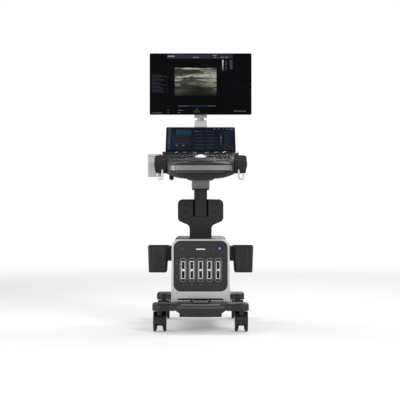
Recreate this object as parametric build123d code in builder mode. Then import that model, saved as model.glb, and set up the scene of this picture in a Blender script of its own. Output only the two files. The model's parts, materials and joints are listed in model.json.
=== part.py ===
"""Cart-based ultrasound scanner, modelled in millimetres.

Frame: +Z up, the user stands on the -Y side, "left" is the user's left (-X).
The origin is on the floor, in the middle of the machine's plan.
Order of the sections: casters, base, console, lift column, control panel, touch screen,
monitor arm, monitor.
"""

import os
from math import atan2, cos, degrees, hypot, radians, sin, tan

from build123d import *

os.makedirs("parts", exist_ok=True)

# ---------------------------------------------------------------- driving dimensions
DEPTH = 820.0  # front of the handle to the rear bumper
FRONT_Y = -DEPTH / 2
REAR_Y = DEPTH / 2
PLAY = 0.3  # gap between pieces that fit into each other
RUN = 0.06  # radial clearance of a shaft in its hole

# casters
WHEEL_R = 50.0
TRACK = 424.0  # between the swivel axes, left to right
TRAIL = 25.0  # axle behind the swivel axis
WHEEL_OUT = 33.5  # outer face of a wheel, from the caster's middle
WEB_HALF = 13.5  # half width of the housing between the wheels
AXLE_R = 5.0
STEM_R = 6.0
HOOD_GAP = 2.5
HOOD_T = 3.5
FRONT_CASTER_Y = FRONT_Y + 120
REAR_CASTER_Y = REAR_Y - 82
CASTER_TOP = 2 * WHEEL_R + 13

# base
BASE_Z = CASTER_TOP + 2  # underside of the base cover
BASE_H = 36.0
BASE_TOP = BASE_Z + BASE_H
BASE_WALL = 5.0
FOOT_HALF = TRACK / 2 + 38  # half width over the caster covers
FOOT_LEN = 120.0
BEAM_H = 22.0
FRAME_Z = BASE_TOP - BASE_WALL - BEAM_H  # the cover lies on the frame
BEAM_W = 50.0

# console
CONSOLE_W = 302.0
CONSOLE_H = 329.0
CONSOLE_TOP = BASE_TOP + CONSOLE_H
CONSOLE_FRONT = FRONT_Y + 164
CONSOLE_REAR = REAR_Y - 160
RING_DEPTH = 46.0
RING_FLARE = 3.0  # the ring is this much wider on each side at its foot
CONSOLE_R = 34.0
PORT_PANEL_W = 283.0
PORT_PANEL_H = 266.0
PORT_PANEL_R = 37.0
PORT_PANEL_TOP_GAP = 7.5
SIDE_T = 4.0
SHELL_WALL = 4.0

# probe ports
PORT_COUNT = 5
PORT_PITCH = 45.7
BEZEL_W = 38.0
BEZEL_H = 128.0
SOCKET_W = 24.0
SOCKET_H = 94.0
SOCKET_RIM = 4.5
SOCKET_BRIDGE = 10.0  # bar between the two windows of a socket
SOCKET_DEPTH = 24.0
SOCKET_BACK = 4.0

# lift column
COLUMN_Y = 45.0
COLUMN_W = 71.0
COLUMN_D = 80.0
COLUMN_WALL = 4.0
GUIDE_WALL = 6.0
SLEEVE_WALL = 12.5
COVER_H = 208.0  # column cover above the console
COVER_TOP = CONSOLE_TOP + COVER_H
COVER_HALF = 60.0
EAR_HALF = 124.0
EAR_H = 116.0
COVER_FRONT = COLUMN_Y - 55
COVER_SPLIT = COLUMN_Y - 5
COVER_REAR = COLUMN_Y + 55
COVER_WALL = 4.0
SLEEVE_CLEAR = 50.0  # cover's top to the sleeve's lower rim
RIM_H = 8.5
SLEEVE_H = 42.0
SLEEVE_Z = COVER_TOP + SLEEVE_CLEAR + RIM_H
SHOULDER_Z = SLEEVE_Z + SLEEVE_H
NECK_R = 57.5
NECK_H = 89.0

# control panel
PANEL_Z = SHOULDER_Z + 0.5  # lowest point of the panel's underside
PANEL_HALF = 176.0
PANEL_REAR_HALF = 203.0
PANEL_REAR_HALF_Y = -155.0
SHOULDER_RUN = 30.0
PALM_FRONT = FRONT_Y + 58
PALM_REAR = FRONT_Y + 106
DECK_REAR_Y = -128.0
DECK_REAR_Z = PANEL_Z + 154
DECK_TILT = 14.0
DECK_T = 8.0
PALM_T = 22.0
TROUGH_Z = DECK_REAR_Z - 16  # flat top of the housing behind the deck

# probe holders and hooks
CUP_R = 23.0
CUP_PITCH = 68.0
HOLDER_OUT = 238.0
HOLDER_Z0 = PANEL_Z + 36
HOLDER_Z1 = PANEL_Z + 127
HOLDER_FRONT = FRONT_Y + 80

# monitor and its arm
ARM_Y = COLUMN_Y + 40  # arm's swivel axis
ELBOW_Y = ARM_Y + 175
ARM_PIN_R = 16.0
ARM_HALF = 35.0  # half width of the arm's housings
LINK_HALF = 25.0
LINK_R = 18.0
PIVOT_R = 6.0
MONITOR_W = 558.0
MONITOR_H = 336.0
MONITOR_FRONT = 30.0

# ---------------------------------------------------------------- helpers


def save(part, label):
    """Labels a finished piece and writes its STEP file."""
    part.label = label
    export_step(part, f"parts/{label}.step")


def front_plane(y):
    """Sketch plane facing the user at depth y: local x is +X, local y is +Z, extrudes go to -Y."""
    return Plane.XZ.offset(-y)


def side_plane(x, y=0.0, z=0.0):
    """Sketch plane seen from the right: local x is +Y, local y is +Z, extrudes go to +X."""
    return Plane(origin=(x, y, z), x_dir=(0, 1, 0), z_dir=(1, 0, 0))


def deck_z(y):
    """Height of the control panel's sloping top surface."""
    return DECK_REAR_Z + (y - DECK_REAR_Y) * tan(radians(DECK_TILT))


def deck_plane(x, y, lift=0.0):
    """Plane on the sloping top surface at plan position (x, y), raised by lift along its normal."""
    slope = radians(DECK_TILT)
    normal = (0, -sin(slope), cos(slope))
    return Plane(origin=(x, y, deck_z(y)), x_dir=(1, 0, 0), z_dir=normal).offset(lift)


# ---------------------------------------------------------------- casters
CASTERS = {
    "front_left": (-TRACK / 2, FRONT_CASTER_Y),
    "front_right": (TRACK / 2, FRONT_CASTER_Y),
    "rear_left": (-TRACK / 2, REAR_CASTER_Y),
    "rear_right": (TRACK / 2, REAR_CASTER_Y),
}
WELL_R = WHEEL_R + HOOD_GAP
HOOD_R = WELL_R + HOOD_T
WEB_R = 20.0
COLLAR_R = 16.0
STEM_LEN = 28.0
HUB_GAP = 0.6


def caster_housing(x, y):
    """Hood over both wheels, web between them, swivel collar and stem."""
    side = side_plane(x, y + TRAIL, WHEEL_R)
    with BuildPart() as housing:
        with BuildSketch(side):
            Circle(HOOD_R)
            with Locations((0, -4)):
                Rectangle(2 * HOOD_R, HOOD_R, align=(Align.CENTER, Align.MAX), mode=Mode.SUBTRACT)
        extrude(amount=WHEEL_OUT, both=True)
        with BuildSketch(Plane.XY.offset(CASTER_TOP)):
            with Locations((x, y)):
                Circle(COLLAR_R)
        extrude(amount=WHEEL_R + 30 - CASTER_TOP)
        with BuildSketch(side):
            Circle(WELL_R)
        extrude(amount=WHEEL_OUT, both=True, mode=Mode.SUBTRACT)
        with BuildSketch(side):
            Circle(HOOD_R)
            Rectangle(2 * HOOD_R, HOOD_R, align=(Align.CENTER, Align.MAX), mode=Mode.SUBTRACT)
            Circle(WEB_R)
        extrude(amount=WEB_HALF, both=True)
        with BuildSketch(Plane.XY.offset(CASTER_TOP)):
            with Locations((x, y)):
                Circle(STEM_R)
        extrude(amount=STEM_LEN)
        with BuildSketch(side):
            Circle(AXLE_R + RUN)
        extrude(amount=WEB_HALF, both=True, mode=Mode.SUBTRACT)
    return housing.part


def caster_wheels(x, y):
    """Two dished wheels on one axle."""
    centre = (x, y + TRAIL, WHEEL_R)
    inner = WEB_HALF + HUB_GAP
    with BuildPart() as wheels:
        with BuildSketch(Plane(origin=centre, x_dir=(1, 0, 0), z_dir=(0, -1, 0))):
            with BuildLine():
                Polyline(
                    (0, 0),
                    (0, AXLE_R),
                    (inner, AXLE_R),
                    (inner, WHEEL_R - 17),
                    (inner + 5, WHEEL_R - 4),
                    (inner + 8, WHEEL_R),
                    (WHEEL_OUT - 4, WHEEL_R),
                    (WHEEL_OUT, WHEEL_R - 4),
                    (WHEEL_OUT, WHEEL_R - 16),
                    (WHEEL_OUT - 4, WHEEL_R - 20),
                    (WHEEL_OUT - 4, 11),
                    (WHEEL_OUT - 2, 9),
                    (WHEEL_OUT - 2, 0),
                    close=True,
                )
            make_face()
            mirror(about=Plane.YZ)
        revolve(axis=Axis(centre, (1, 0, 0)))
    return wheels.part


for corner, (caster_x, caster_y) in CASTERS.items():
    save(caster_housing(caster_x, caster_y), f"caster_housing_{corner}")
    save(caster_wheels(caster_x, caster_y), f"caster_wheels_{corner}")

# ---------------------------------------------------------------- base
BODY_HALF = CONSOLE_W / 2 + 14
FOOT_R = 34.0
REST_HALF = 133.0
REST_REAR = CONSOLE_FRONT - 2
REST_FRONT = FRONT_Y + 48
GUIDE_HOLE = (COLUMN_W + 20, COLUMN_D + 20)

with BuildPart() as base_frame:
    with BuildSketch(Plane.XY.offset(FRAME_Z)):
        with Locations((0, FRONT_CASTER_Y), (0, REAR_CASTER_Y)):
            Rectangle(TRACK + 40, BEAM_W)
    extrude(amount=BEAM_H)
    with BuildSketch(Plane.XY.offset(FRAME_Z)):
        with Locations((0, (FRONT_CASTER_Y + REAR_CASTER_Y) / 2)):
            Rectangle(CONSOLE_W - 50, REAR_CASTER_Y - FRONT_CASTER_Y)
    extrude(amount=BEAM_H / 3)
    with BuildSketch(Plane.XY.offset(FRAME_Z)):
        with Locations(*CASTERS.values()):
            Circle(STEM_R + RUN)
    extrude(amount=BEAM_H, mode=Mode.SUBTRACT)
save(base_frame.part, "base_frame")

with BuildSketch() as base_outline:
    with Locations((0, (FRONT_CASTER_Y + REAR_CASTER_Y) / 2)):
        Rectangle(2 * BODY_HALF, REAR_CASTER_Y - FRONT_CASTER_Y)
    with Locations((0, FRONT_CASTER_Y + 5)):
        Rectangle(2 * FOOT_HALF, FOOT_LEN)
    with Locations((0, REAR_Y - FOOT_LEN / 2 - 9)):
        Rectangle(2 * FOOT_HALF, FOOT_LEN + 18)
    fillet(base_outline.vertices(), FOOT_R)

with BuildPart() as base_cover:
    with BuildSketch(Plane.XY.offset(BASE_Z)):
        add(base_outline.sketch)
    extrude(amount=BASE_H)
    fillet(base_cover.faces().sort_by(Axis.Z)[-1].edges(), 2 * BASE_WALL)
    with BuildSketch(Plane.XY.offset(BASE_Z)):
        add(base_outline.sketch)
        offset(amount=-BASE_WALL, kind=Kind.INTERSECTION)
    extrude(amount=BASE_H - BASE_WALL, mode=Mode.SUBTRACT)
    with BuildSketch(Plane.XY.offset(BASE_Z)):
        with Locations((0, COLUMN_Y)):
            Rectangle(*GUIDE_HOLE)
        with Locations((0, REST_REAR)):
            Rectangle(2 * REST_HALF, FOOT_LEN * 2, align=(Align.CENTER, Align.MAX))
    extrude(amount=BASE_H, mode=Mode.SUBTRACT)
save(base_cover.part, "base_cover")

REST_TOP = BASE_TOP + 6
BELLY_Z = BASE_Z - 30
BELLY_HALF = REST_HALF - 24
PEDAL_HALF = 40.0
PEDAL_GAP = 2.0
PEDAL_FRONT = REST_FRONT + 17
PEDAL_PIVOT_Y = PEDAL_FRONT + 56
PEDAL_PIVOT_Z = REST_TOP + 3
PEDAL_SHAFT_R = 4.0
PEDAL_T = 7.0
PEDAL_WELL = 7.0

with BuildPart() as foot_rest:
    with BuildSketch(Plane.XY.offset(BELLY_Z)):
        with BuildLine():
            ThreePointArc(
                (-REST_HALF, REST_FRONT + 17), (0, REST_FRONT), (REST_HALF, REST_FRONT + 17)
            )
            Polyline(
                (REST_HALF, REST_FRONT + 17),
                (REST_HALF, REST_REAR),
                (-REST_HALF, REST_REAR),
                (-REST_HALF, REST_FRONT + 17),
            )
        make_face()
    extrude(amount=REST_TOP + 14 - BELLY_Z)
    with BuildSketch(front_plane(REST_REAR)):
        with BuildLine():
            Polyline(
                (-REST_HALF, REST_TOP),
                (-REST_HALF, BASE_Z + 4),
                (-BELLY_HALF, BASE_Z - 12),
                (-BELLY_HALF, BELLY_Z),
                (BELLY_HALF, BELLY_Z),
                (BELLY_HALF, BASE_Z - 12),
                (REST_HALF, BASE_Z + 4),
                (REST_HALF, REST_TOP),
                close=True,
            )
        make_face()
    extrude(amount=REST_REAR - REST_FRONT + 10, mode=Mode.INTERSECT)
    front_edges = foot_rest.edges().group_by(Axis.Z)[-1].sort_by(Axis.Y)[0]
    fillet(front_edges, 8)
    with BuildSketch(Plane.XY.offset(BELLY_Z + BASE_WALL)):
        with Locations((0, (REST_FRONT + REST_REAR) / 2 + 5)):
            Rectangle(2 * (BELLY_HALF - BASE_WALL), REST_REAR - REST_FRONT - 24)
    extrude(amount=FRAME_Z + BEAM_H - BELLY_Z - BASE_WALL, mode=Mode.SUBTRACT)
    with BuildSketch(Plane.XY.offset(FRAME_Z)):
        with Locations((0, FRONT_CASTER_Y - BEAM_W / 2)):
            Rectangle(2 * REST_HALF + 2, FOOT_LEN, align=(Align.CENTER, Align.MIN))
    extrude(amount=BEAM_H, mode=Mode.SUBTRACT)
    with BuildSketch(Plane.XY.offset(REST_TOP - PEDAL_WELL)):
        with Locations((0, PEDAL_FRONT - PEDAL_GAP)):
            Rectangle(
                2 * (PEDAL_HALF + PEDAL_GAP),
                PEDAL_PIVOT_Y - PEDAL_FRONT + 12,
                align=(Align.CENTER, Align.MIN),
            )
    extrude(amount=PEDAL_WELL, mode=Mode.SUBTRACT)
    with BuildSketch(Plane.XY.offset(REST_TOP)):
        with GridLocations(2 * PEDAL_HALF + 16, 1, 2, 1):
            with Locations((0, PEDAL_PIVOT_Y)):
                Rectangle(10, 16)
    extrude(amount=10)
    with BuildSketch(side_plane(0, PEDAL_PIVOT_Y, PEDAL_PIVOT_Z)):
        Circle(PEDAL_SHAFT_R + RUN)
    extrude(amount=PEDAL_HALF + 14, both=True, mode=Mode.SUBTRACT)
save(foot_rest.part, "foot_rest")

with BuildPart() as brake_pedal:
    with BuildSketch(side_plane(0)):
        with BuildLine():
            Polyline(
                (PEDAL_FRONT, PEDAL_PIVOT_Z - 1),
                (PEDAL_FRONT + 4, PEDAL_PIVOT_Z + PEDAL_T),
                (PEDAL_PIVOT_Y + 4, PEDAL_PIVOT_Z + PEDAL_T),
                (PEDAL_PIVOT_Y + 6, PEDAL_PIVOT_Z),
                (PEDAL_PIVOT_Y, PEDAL_PIVOT_Z - 6),
                (PEDAL_PIVOT_Y - 8, PEDAL_PIVOT_Z - 1),
                close=True,
            )
        make_face()
    extrude(amount=PEDAL_HALF, both=True)
    fillet(brake_pedal.edges().filter_by(Axis.X).group_by(Axis.Z)[-1], 3)
    with BuildSketch(side_plane(0, PEDAL_PIVOT_Y, PEDAL_PIVOT_Z)):
        Circle(PEDAL_SHAFT_R)
    extrude(amount=PEDAL_HALF + 13, both=True)
save(brake_pedal.part, "brake_pedal")

# ---------------------------------------------------------------- console
SHELL_HALF = CONSOLE_W / 2 - SIDE_T
RING_REAR = CONSOLE_FRONT + RING_DEPTH
PORT_PANEL_Z = CONSOLE_TOP - PORT_PANEL_TOP_GAP - PORT_PANEL_H / 2
PORT_PANEL_FRONT = CONSOLE_FRONT + 3
PORT_PANEL_T = 10.0
PORT_Z = PORT_PANEL_Z - 20
INTAKE_W = 240.0
INTAKE_H = 9.0
INTAKE_Z = BASE_TOP + 15
BUTTON_X = 100.0
BUTTON_Z = PORT_PANEL_Z + 93
BUTTON_R = 14.0
LED_X = 67.5
LED_R = 2.5
STATUS_X = (-108.0, -97.5, -87.0)
STATUS_W, STATUS_H = 3.0, 8.0


BEZEL_LIP = 3.0
BEZEL_PROUD = 3.0
BEZEL_FRONT = PORT_PANEL_FRONT - BEZEL_PROUD


def port_locations():
    """Centres of the probe ports on the front plane."""
    middle = (PORT_COUNT - 1) / 2
    return [((i - middle) * PORT_PITCH, PORT_Z) for i in range(PORT_COUNT)]


def console_outline(half_top, half_foot, top, foot, radius=CONSOLE_R):
    """Front view of the console: rounded shoulders, slightly wider at the foot."""
    with BuildSketch() as outline:
        with BuildLine():
            Polyline(
                (-half_foot, foot), (half_foot, foot), (half_top, top), (-half_top, top), close=True
            )
        make_face()
        fillet(outline.vertices().group_by(Axis.Y)[-1], radius)
    return outline.sketch


with BuildPart() as console_frame:
    with BuildSketch(front_plane(RING_REAR)):
        add(console_outline(CONSOLE_W / 2, CONSOLE_W / 2 + RING_FLARE, CONSOLE_TOP, BASE_TOP))
    extrude(amount=RING_DEPTH)
    fillet(console_frame.faces().sort_by(Axis.Y)[0].edges().group_by(Axis.Z)[-1], 4)
    with BuildSketch(front_plane(RING_REAR)):
        with Locations((0, PORT_PANEL_Z)):
            RectangleRounded(PORT_PANEL_W, PORT_PANEL_H, PORT_PANEL_R)
    extrude(amount=RING_DEPTH, mode=Mode.SUBTRACT)
    with BuildSketch(front_plane(CONSOLE_FRONT + 20)):
        with Locations((0, INTAKE_Z)):
            RectangleRounded(INTAKE_W, INTAKE_H, INTAKE_H / 2 - 0.1)
    extrude(amount=20, mode=Mode.SUBTRACT)
save(console_frame.part, "console_frame")

with BuildPart() as port_panel:
    with BuildSketch(front_plane(PORT_PANEL_FRONT + PORT_PANEL_T)):
        with Locations((0, PORT_PANEL_Z)):
            RectangleRounded(PORT_PANEL_W, PORT_PANEL_H, PORT_PANEL_R)
    extrude(amount=PORT_PANEL_T)
    fillet(port_panel.faces().sort_by(Axis.Y)[0].edges(), 2)
    with BuildSketch(front_plane(PORT_PANEL_FRONT + PORT_PANEL_T)):
        with Locations(*port_locations()):
            SlotOverall(BEZEL_H - 2 * BEZEL_LIP, BEZEL_W - 2 * BEZEL_LIP, rotation=90)
        with Locations((BUTTON_X, BUTTON_Z)):
            Circle(BUTTON_R + PLAY)
        with Locations((LED_X, BUTTON_Z), (LED_X, BUTTON_Z - 16)):
            Circle(LED_R)
        with Locations(*[(x, BUTTON_Z - 3) for x in STATUS_X]):
            Rectangle(STATUS_W, STATUS_H)
    extrude(amount=PORT_PANEL_T, mode=Mode.SUBTRACT)
save(port_panel.part, "port_panel")

with BuildPart() as port_bezels:
    with BuildSketch(front_plane(PORT_PANEL_FRONT)):
        with Locations(*port_locations()):
            SlotOverall(BEZEL_H, BEZEL_W, rotation=90)
    extrude(amount=BEZEL_PROUD)
    fillet(port_bezels.faces().group_by(Axis.Y)[0].edges(), 2)
    with BuildSketch(front_plane(BEZEL_FRONT + SOCKET_DEPTH)):
        with Locations(*port_locations()):
            SlotOverall(BEZEL_H - 2 * BEZEL_LIP, BEZEL_W - 2 * BEZEL_LIP, rotation=90)
    extrude(amount=SOCKET_DEPTH - BEZEL_PROUD)
    with BuildSketch(front_plane(BEZEL_FRONT + SOCKET_DEPTH)):
        with Locations(*port_locations()):
            Rectangle(SOCKET_W, SOCKET_H)
    extrude(amount=SOCKET_DEPTH, mode=Mode.SUBTRACT)
save(port_bezels.part, "port_bezels")

WINDOW_H = (SOCKET_H - 2 * SOCKET_RIM - SOCKET_BRIDGE) / 2
WINDOW_SHIFT = (SOCKET_BRIDGE + WINDOW_H) / 2
SOCKET_FRONT = BEZEL_FRONT - 2
with BuildPart() as port_sockets:
    with BuildSketch(front_plane(BEZEL_FRONT + SOCKET_DEPTH)):
        with Locations(*port_locations()):
            Rectangle(SOCKET_W, SOCKET_H)
    extrude(amount=BEZEL_FRONT + SOCKET_DEPTH - SOCKET_FRONT)
    with BuildSketch(front_plane(BEZEL_FRONT + SOCKET_DEPTH - SOCKET_BACK)):
        for port_x, port_z in port_locations():
            with Locations((port_x, port_z - WINDOW_SHIFT), (port_x, port_z + WINDOW_SHIFT)):
                Rectangle(SOCKET_W - 2 * SOCKET_RIM, WINDOW_H)
    extrude(amount=SOCKET_DEPTH, mode=Mode.SUBTRACT)
save(port_sockets.part, "port_sockets")

with BuildPart() as status_leds:
    with BuildSketch(front_plane(PORT_PANEL_FRONT + PORT_PANEL_T)):
        with Locations((LED_X, BUTTON_Z), (LED_X, BUTTON_Z - 16)):
            Circle(LED_R - 0.1)
        with Locations(*[(x, BUTTON_Z - 3) for x in STATUS_X]):
            Rectangle(STATUS_W - 0.2, STATUS_H - 0.2)
    extrude(amount=PORT_PANEL_T + 0.4)
save(status_leds.part, "status_leds")

with BuildPart() as power_button:
    with BuildSketch(front_plane(PORT_PANEL_FRONT + PORT_PANEL_T - 1)):
        with Locations((BUTTON_X, BUTTON_Z)):
            Circle(BUTTON_R)
    extrude(amount=PORT_PANEL_T + 1)
    fillet(power_button.faces().sort_by(Axis.Y)[0].edges(), 1.2)
save(power_button.part, "power_button")

SHELL_FRONT = RING_REAR
with BuildPart() as console_shell:
    with BuildSketch(front_plane(CONSOLE_REAR)):
        add(console_outline(SHELL_HALF, SHELL_HALF, CONSOLE_TOP, BASE_TOP))
    extrude(amount=CONSOLE_REAR - SHELL_FRONT)
    fillet(console_shell.faces().sort_by(Axis.Y)[-1].edges(), SHELL_WALL / 2)
    with BuildSketch(front_plane(CONSOLE_REAR)):
        add(
            console_outline(
                SHELL_HALF - SHELL_WALL,
                SHELL_HALF - SHELL_WALL,
                CONSOLE_TOP - SHELL_WALL,
                BASE_TOP + SHELL_WALL,
                CONSOLE_R - SHELL_WALL,
            )
        )
    extrude(amount=CONSOLE_REAR - SHELL_FRONT - SHELL_WALL, mode=Mode.SUBTRACT)
    with BuildSketch(Plane.XY.offset(BASE_TOP)):
        with Locations((0, COLUMN_Y)):
            Rectangle(*GUIDE_HOLE)
    extrude(amount=CONSOLE_H, mode=Mode.SUBTRACT)
save(console_shell.part, "console_shell")

SIDE_FRONT = RING_REAR + 1
SIDE_REAR = CONSOLE_REAR - 50
with BuildPart() as side_panels:
    with BuildSketch(side_plane(SHELL_HALF)):
        with Locations(((SIDE_FRONT + SIDE_REAR) / 2, BASE_TOP + (CONSOLE_H - CONSOLE_R) / 2)):
            RectangleRounded(SIDE_REAR - SIDE_FRONT, CONSOLE_H - CONSOLE_R - 8, 20)
    extrude(amount=SIDE_T)
    fillet(side_panels.faces().sort_by(Axis.X)[-1].edges(), 2)
    mirror(about=Plane.YZ)
save(side_panels.part, "side_panels")

REAR_PANEL_HALF = SHELL_HALF - SHELL_WALL
REAR_PANEL_T = 4.0
INLET_X, INLET_Z = -70.0, BASE_TOP + 60
INLET_W, INLET_H = 48.0, 28.0
with BuildPart() as rear_panel:
    with BuildSketch(front_plane(CONSOLE_REAR)):
        add(
            console_outline(
                REAR_PANEL_HALF,
                REAR_PANEL_HALF,
                CONSOLE_TOP - SHELL_WALL,
                BASE_TOP + SHELL_WALL,
                CONSOLE_R - SHELL_WALL,
            )
        )
    extrude(amount=REAR_PANEL_T)
    with BuildSketch(front_plane(CONSOLE_REAR)):
        with Locations((INLET_X, INLET_Z)):
            Rectangle(INLET_W, INLET_H)
        with Locations((0, BASE_TOP + 200)):
            with GridLocations(16, 0, 13, 1):
                SlotOverall(110, 7, rotation=90)
    extrude(amount=REAR_PANEL_T, mode=Mode.SUBTRACT)
save(rear_panel.part, "rear_panel")

with BuildPart() as mains_inlet:
    with BuildSketch(front_plane(CONSOLE_REAR)):
        with Locations((INLET_X, INLET_Z)):
            Rectangle(INLET_W, INLET_H)
    extrude(amount=30)
    with BuildSketch(front_plane(CONSOLE_REAR + 2)):
        with Locations((INLET_X, INLET_Z)):
            Rectangle(INLET_W + 8, INLET_H + 6)
    extrude(amount=2)
    with BuildSketch(front_plane(CONSOLE_REAR + 2)):
        with Locations((INLET_X, INLET_Z)):
            Rectangle(26, 18)
    extrude(amount=20, mode=Mode.SUBTRACT)
save(mains_inlet.part, "mains_inlet")

with BuildPart() as electronics_rack:
    with BuildSketch(Plane.XY.offset(BASE_TOP + SHELL_WALL)):
        with Locations((0, COVER_FRONT - 90)):
            Rectangle(CONSOLE_W - 60, 140)
        with Locations((0, (GUIDE_HOLE[1] / 2 + COLUMN_Y + CONSOLE_REAR - 34) / 2 + 3)):
            Rectangle(CONSOLE_W - 80, CONSOLE_REAR - 34 - COLUMN_Y - GUIDE_HOLE[1] / 2 - 10)
    extrude(amount=CONSOLE_H - 70)
save(electronics_rack.part, "electronics_rack")

# ---------------------------------------------------------------- side pockets
POCKET_OUT = 283.0
POCKET_W = 110.0
POCKET_H = 141.0
POCKET_D = 180.0
POCKET_Z = BASE_TOP + 144
POCKET_Y = -10.0
POCKET_R = 14.0
POCKET_WALL = 3.0
BRACKET_H = 81.0
BRACKET_D = 70.0


def pocket_solid(side, inset, floor):
    """Tapered bin, or its hollow when inset and floor are above 0."""
    top_middle = side * (POCKET_OUT - POCKET_W / 2)
    foot_middle = side * (POCKET_OUT - 4 - (POCKET_W - 14) / 2)
    top = POCKET_Z + POCKET_H
    with BuildPart() as solid:
        with BuildSketch(Plane.XY.offset(POCKET_Z + floor)):
            with Locations((foot_middle, POCKET_Y)):
                RectangleRounded(
                    POCKET_W - 14 - 2 * inset, POCKET_D - 16 - 2 * inset, POCKET_R - inset
                )
        with BuildSketch(Plane.XY.offset(top)):
            with Locations((top_middle, POCKET_Y)):
                RectangleRounded(POCKET_W - 2 * inset, POCKET_D - 2 * inset, POCKET_R - inset)
        loft()
    return solid.part


for side, label in ((-1, "pocket_left"), (1, "pocket_right")):
    with BuildPart() as pocket:
        add(pocket_solid(side, 0, 0))
        fillet(pocket.faces().sort_by(Axis.Z)[0].edges(), 6)
        add(pocket_solid(side, POCKET_WALL, POCKET_WALL), mode=Mode.SUBTRACT)
    save(pocket.part, label)

with BuildPart() as pocket_brackets:
    with BuildSketch(Plane.XY.offset(POCKET_Z + POCKET_H - BRACKET_H)):
        with Locations((CONSOLE_W / 2, POCKET_Y), (-CONSOLE_W / 2, POCKET_Y)):
            Rectangle(2 * (POCKET_OUT - POCKET_W + 8 - CONSOLE_W / 2), BRACKET_D)
        Rectangle(CONSOLE_W, CONSOLE_W, mode=Mode.SUBTRACT)
    extrude(amount=BRACKET_H)
    add(pocket_solid(-1, 0, 0), mode=Mode.SUBTRACT)
    add(pocket_solid(1, 0, 0), mode=Mode.SUBTRACT)
save(pocket_brackets.part, "pocket_brackets")

# ---------------------------------------------------------------- lift column
GUIDE_TOP = COVER_TOP - 98
MID_Z0 = GUIDE_TOP - 210
MID_Z1 = SHOULDER_Z + 94
RECESS_HALF = COLUMN_W / 2 + 7


def box_tube(width, depth, wall, z0, z1):
    """Rectangular tube round the column's axis, its wall outside width by depth."""
    with BuildPart() as tube:
        with BuildSketch(Plane.XY.offset(z0)):
            with Locations((0, COLUMN_Y)):
                RectangleRounded(width + 2 * wall, depth + 2 * wall, 6)
                RectangleRounded(width, depth, 3, mode=Mode.SUBTRACT)
        extrude(amount=z1 - z0)
    return tube.part


with BuildPart() as column_guide:
    add(
        box_tube(
            COLUMN_W + 2 * PLAY, COLUMN_D + 2 * PLAY, GUIDE_WALL, FRAME_Z + BEAM_H / 3, GUIDE_TOP
        )
    )
save(column_guide.part, "column_guide")

with BuildPart() as column_mast:
    add(
        box_tube(
            COLUMN_W - 2 * COLUMN_WALL, COLUMN_D - 2 * COLUMN_WALL, COLUMN_WALL, MID_Z0, MID_Z1
        )
    )
save(column_mast.part, "column_mast")

with BuildPart() as column_sleeve:
    add(box_tube(COLUMN_W + 1, COLUMN_D + 1, SLEEVE_WALL, SLEEVE_Z, SHOULDER_Z))
    with BuildSketch(Plane.XY.offset(SHOULDER_Z)):
        with Locations((0, COLUMN_Y)):
            Circle(NECK_R)
            Rectangle(COLUMN_W + 1, COLUMN_D + 1, mode=Mode.SUBTRACT)
    extrude(amount=NECK_H)
save(column_sleeve.part, "column_sleeve")

with BuildPart() as sleeve_rim:
    add(box_tube(COLUMN_W + 1, COLUMN_D + 1, SLEEVE_WALL - 2, SLEEVE_Z - RIM_H, SLEEVE_Z))
save(sleeve_rim.part, "sleeve_rim")


def cover_outline(inset):
    """Front view of the column cover: a narrow neck with an ear on each side."""
    with BuildSketch() as outline:
        with BuildLine():
            Polyline(
                (-COVER_HALF, CONSOLE_TOP),
                (COVER_HALF, CONSOLE_TOP),
                (COVER_HALF, COVER_TOP - EAR_H - 27),
                (EAR_HALF, COVER_TOP - EAR_H),
                (EAR_HALF, COVER_TOP),
                (-EAR_HALF, COVER_TOP),
                (-EAR_HALF, COVER_TOP - EAR_H),
                (-COVER_HALF, COVER_TOP - EAR_H - 27),
                close=True,
            )
        make_face()
        fillet(outline.vertices().group_by(Axis.Y)[1:], 26)
        if inset:
            offset(amount=-inset, kind=Kind.INTERSECTION)
    return outline.sketch


with BuildPart() as column_cover:
    with BuildSketch(front_plane(COVER_SPLIT)):
        add(cover_outline(0))
    extrude(amount=COVER_SPLIT - COVER_FRONT)
    fillet(column_cover.faces().sort_by(Axis.Y)[0].edges().group_by(Axis.Z)[1:], 5)
    with BuildSketch(front_plane(COVER_SPLIT)):
        add(cover_outline(COVER_WALL))
    extrude(amount=COVER_SPLIT - COVER_FRONT - COVER_WALL, mode=Mode.SUBTRACT)
    with BuildSketch(Plane.XY.offset(CONSOLE_TOP)):
        with Locations((0, COLUMN_Y)):
            Rectangle(COLUMN_W + 30, COLUMN_D + 22)
    extrude(amount=GUIDE_TOP - CONSOLE_TOP, mode=Mode.SUBTRACT)
    with BuildSketch(Plane.XY.offset(GUIDE_TOP + 4)):
        with Locations((0, COVER_FRONT - 5)):
            Rectangle(2 * RECESS_HALF, COVER_SPLIT - COVER_FRONT + 10, align=(Align.CENTER, Align.MIN))
    extrude(amount=COVER_TOP - GUIDE_TOP, mode=Mode.SUBTRACT)
save(column_cover.part, "column_cover")

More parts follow.
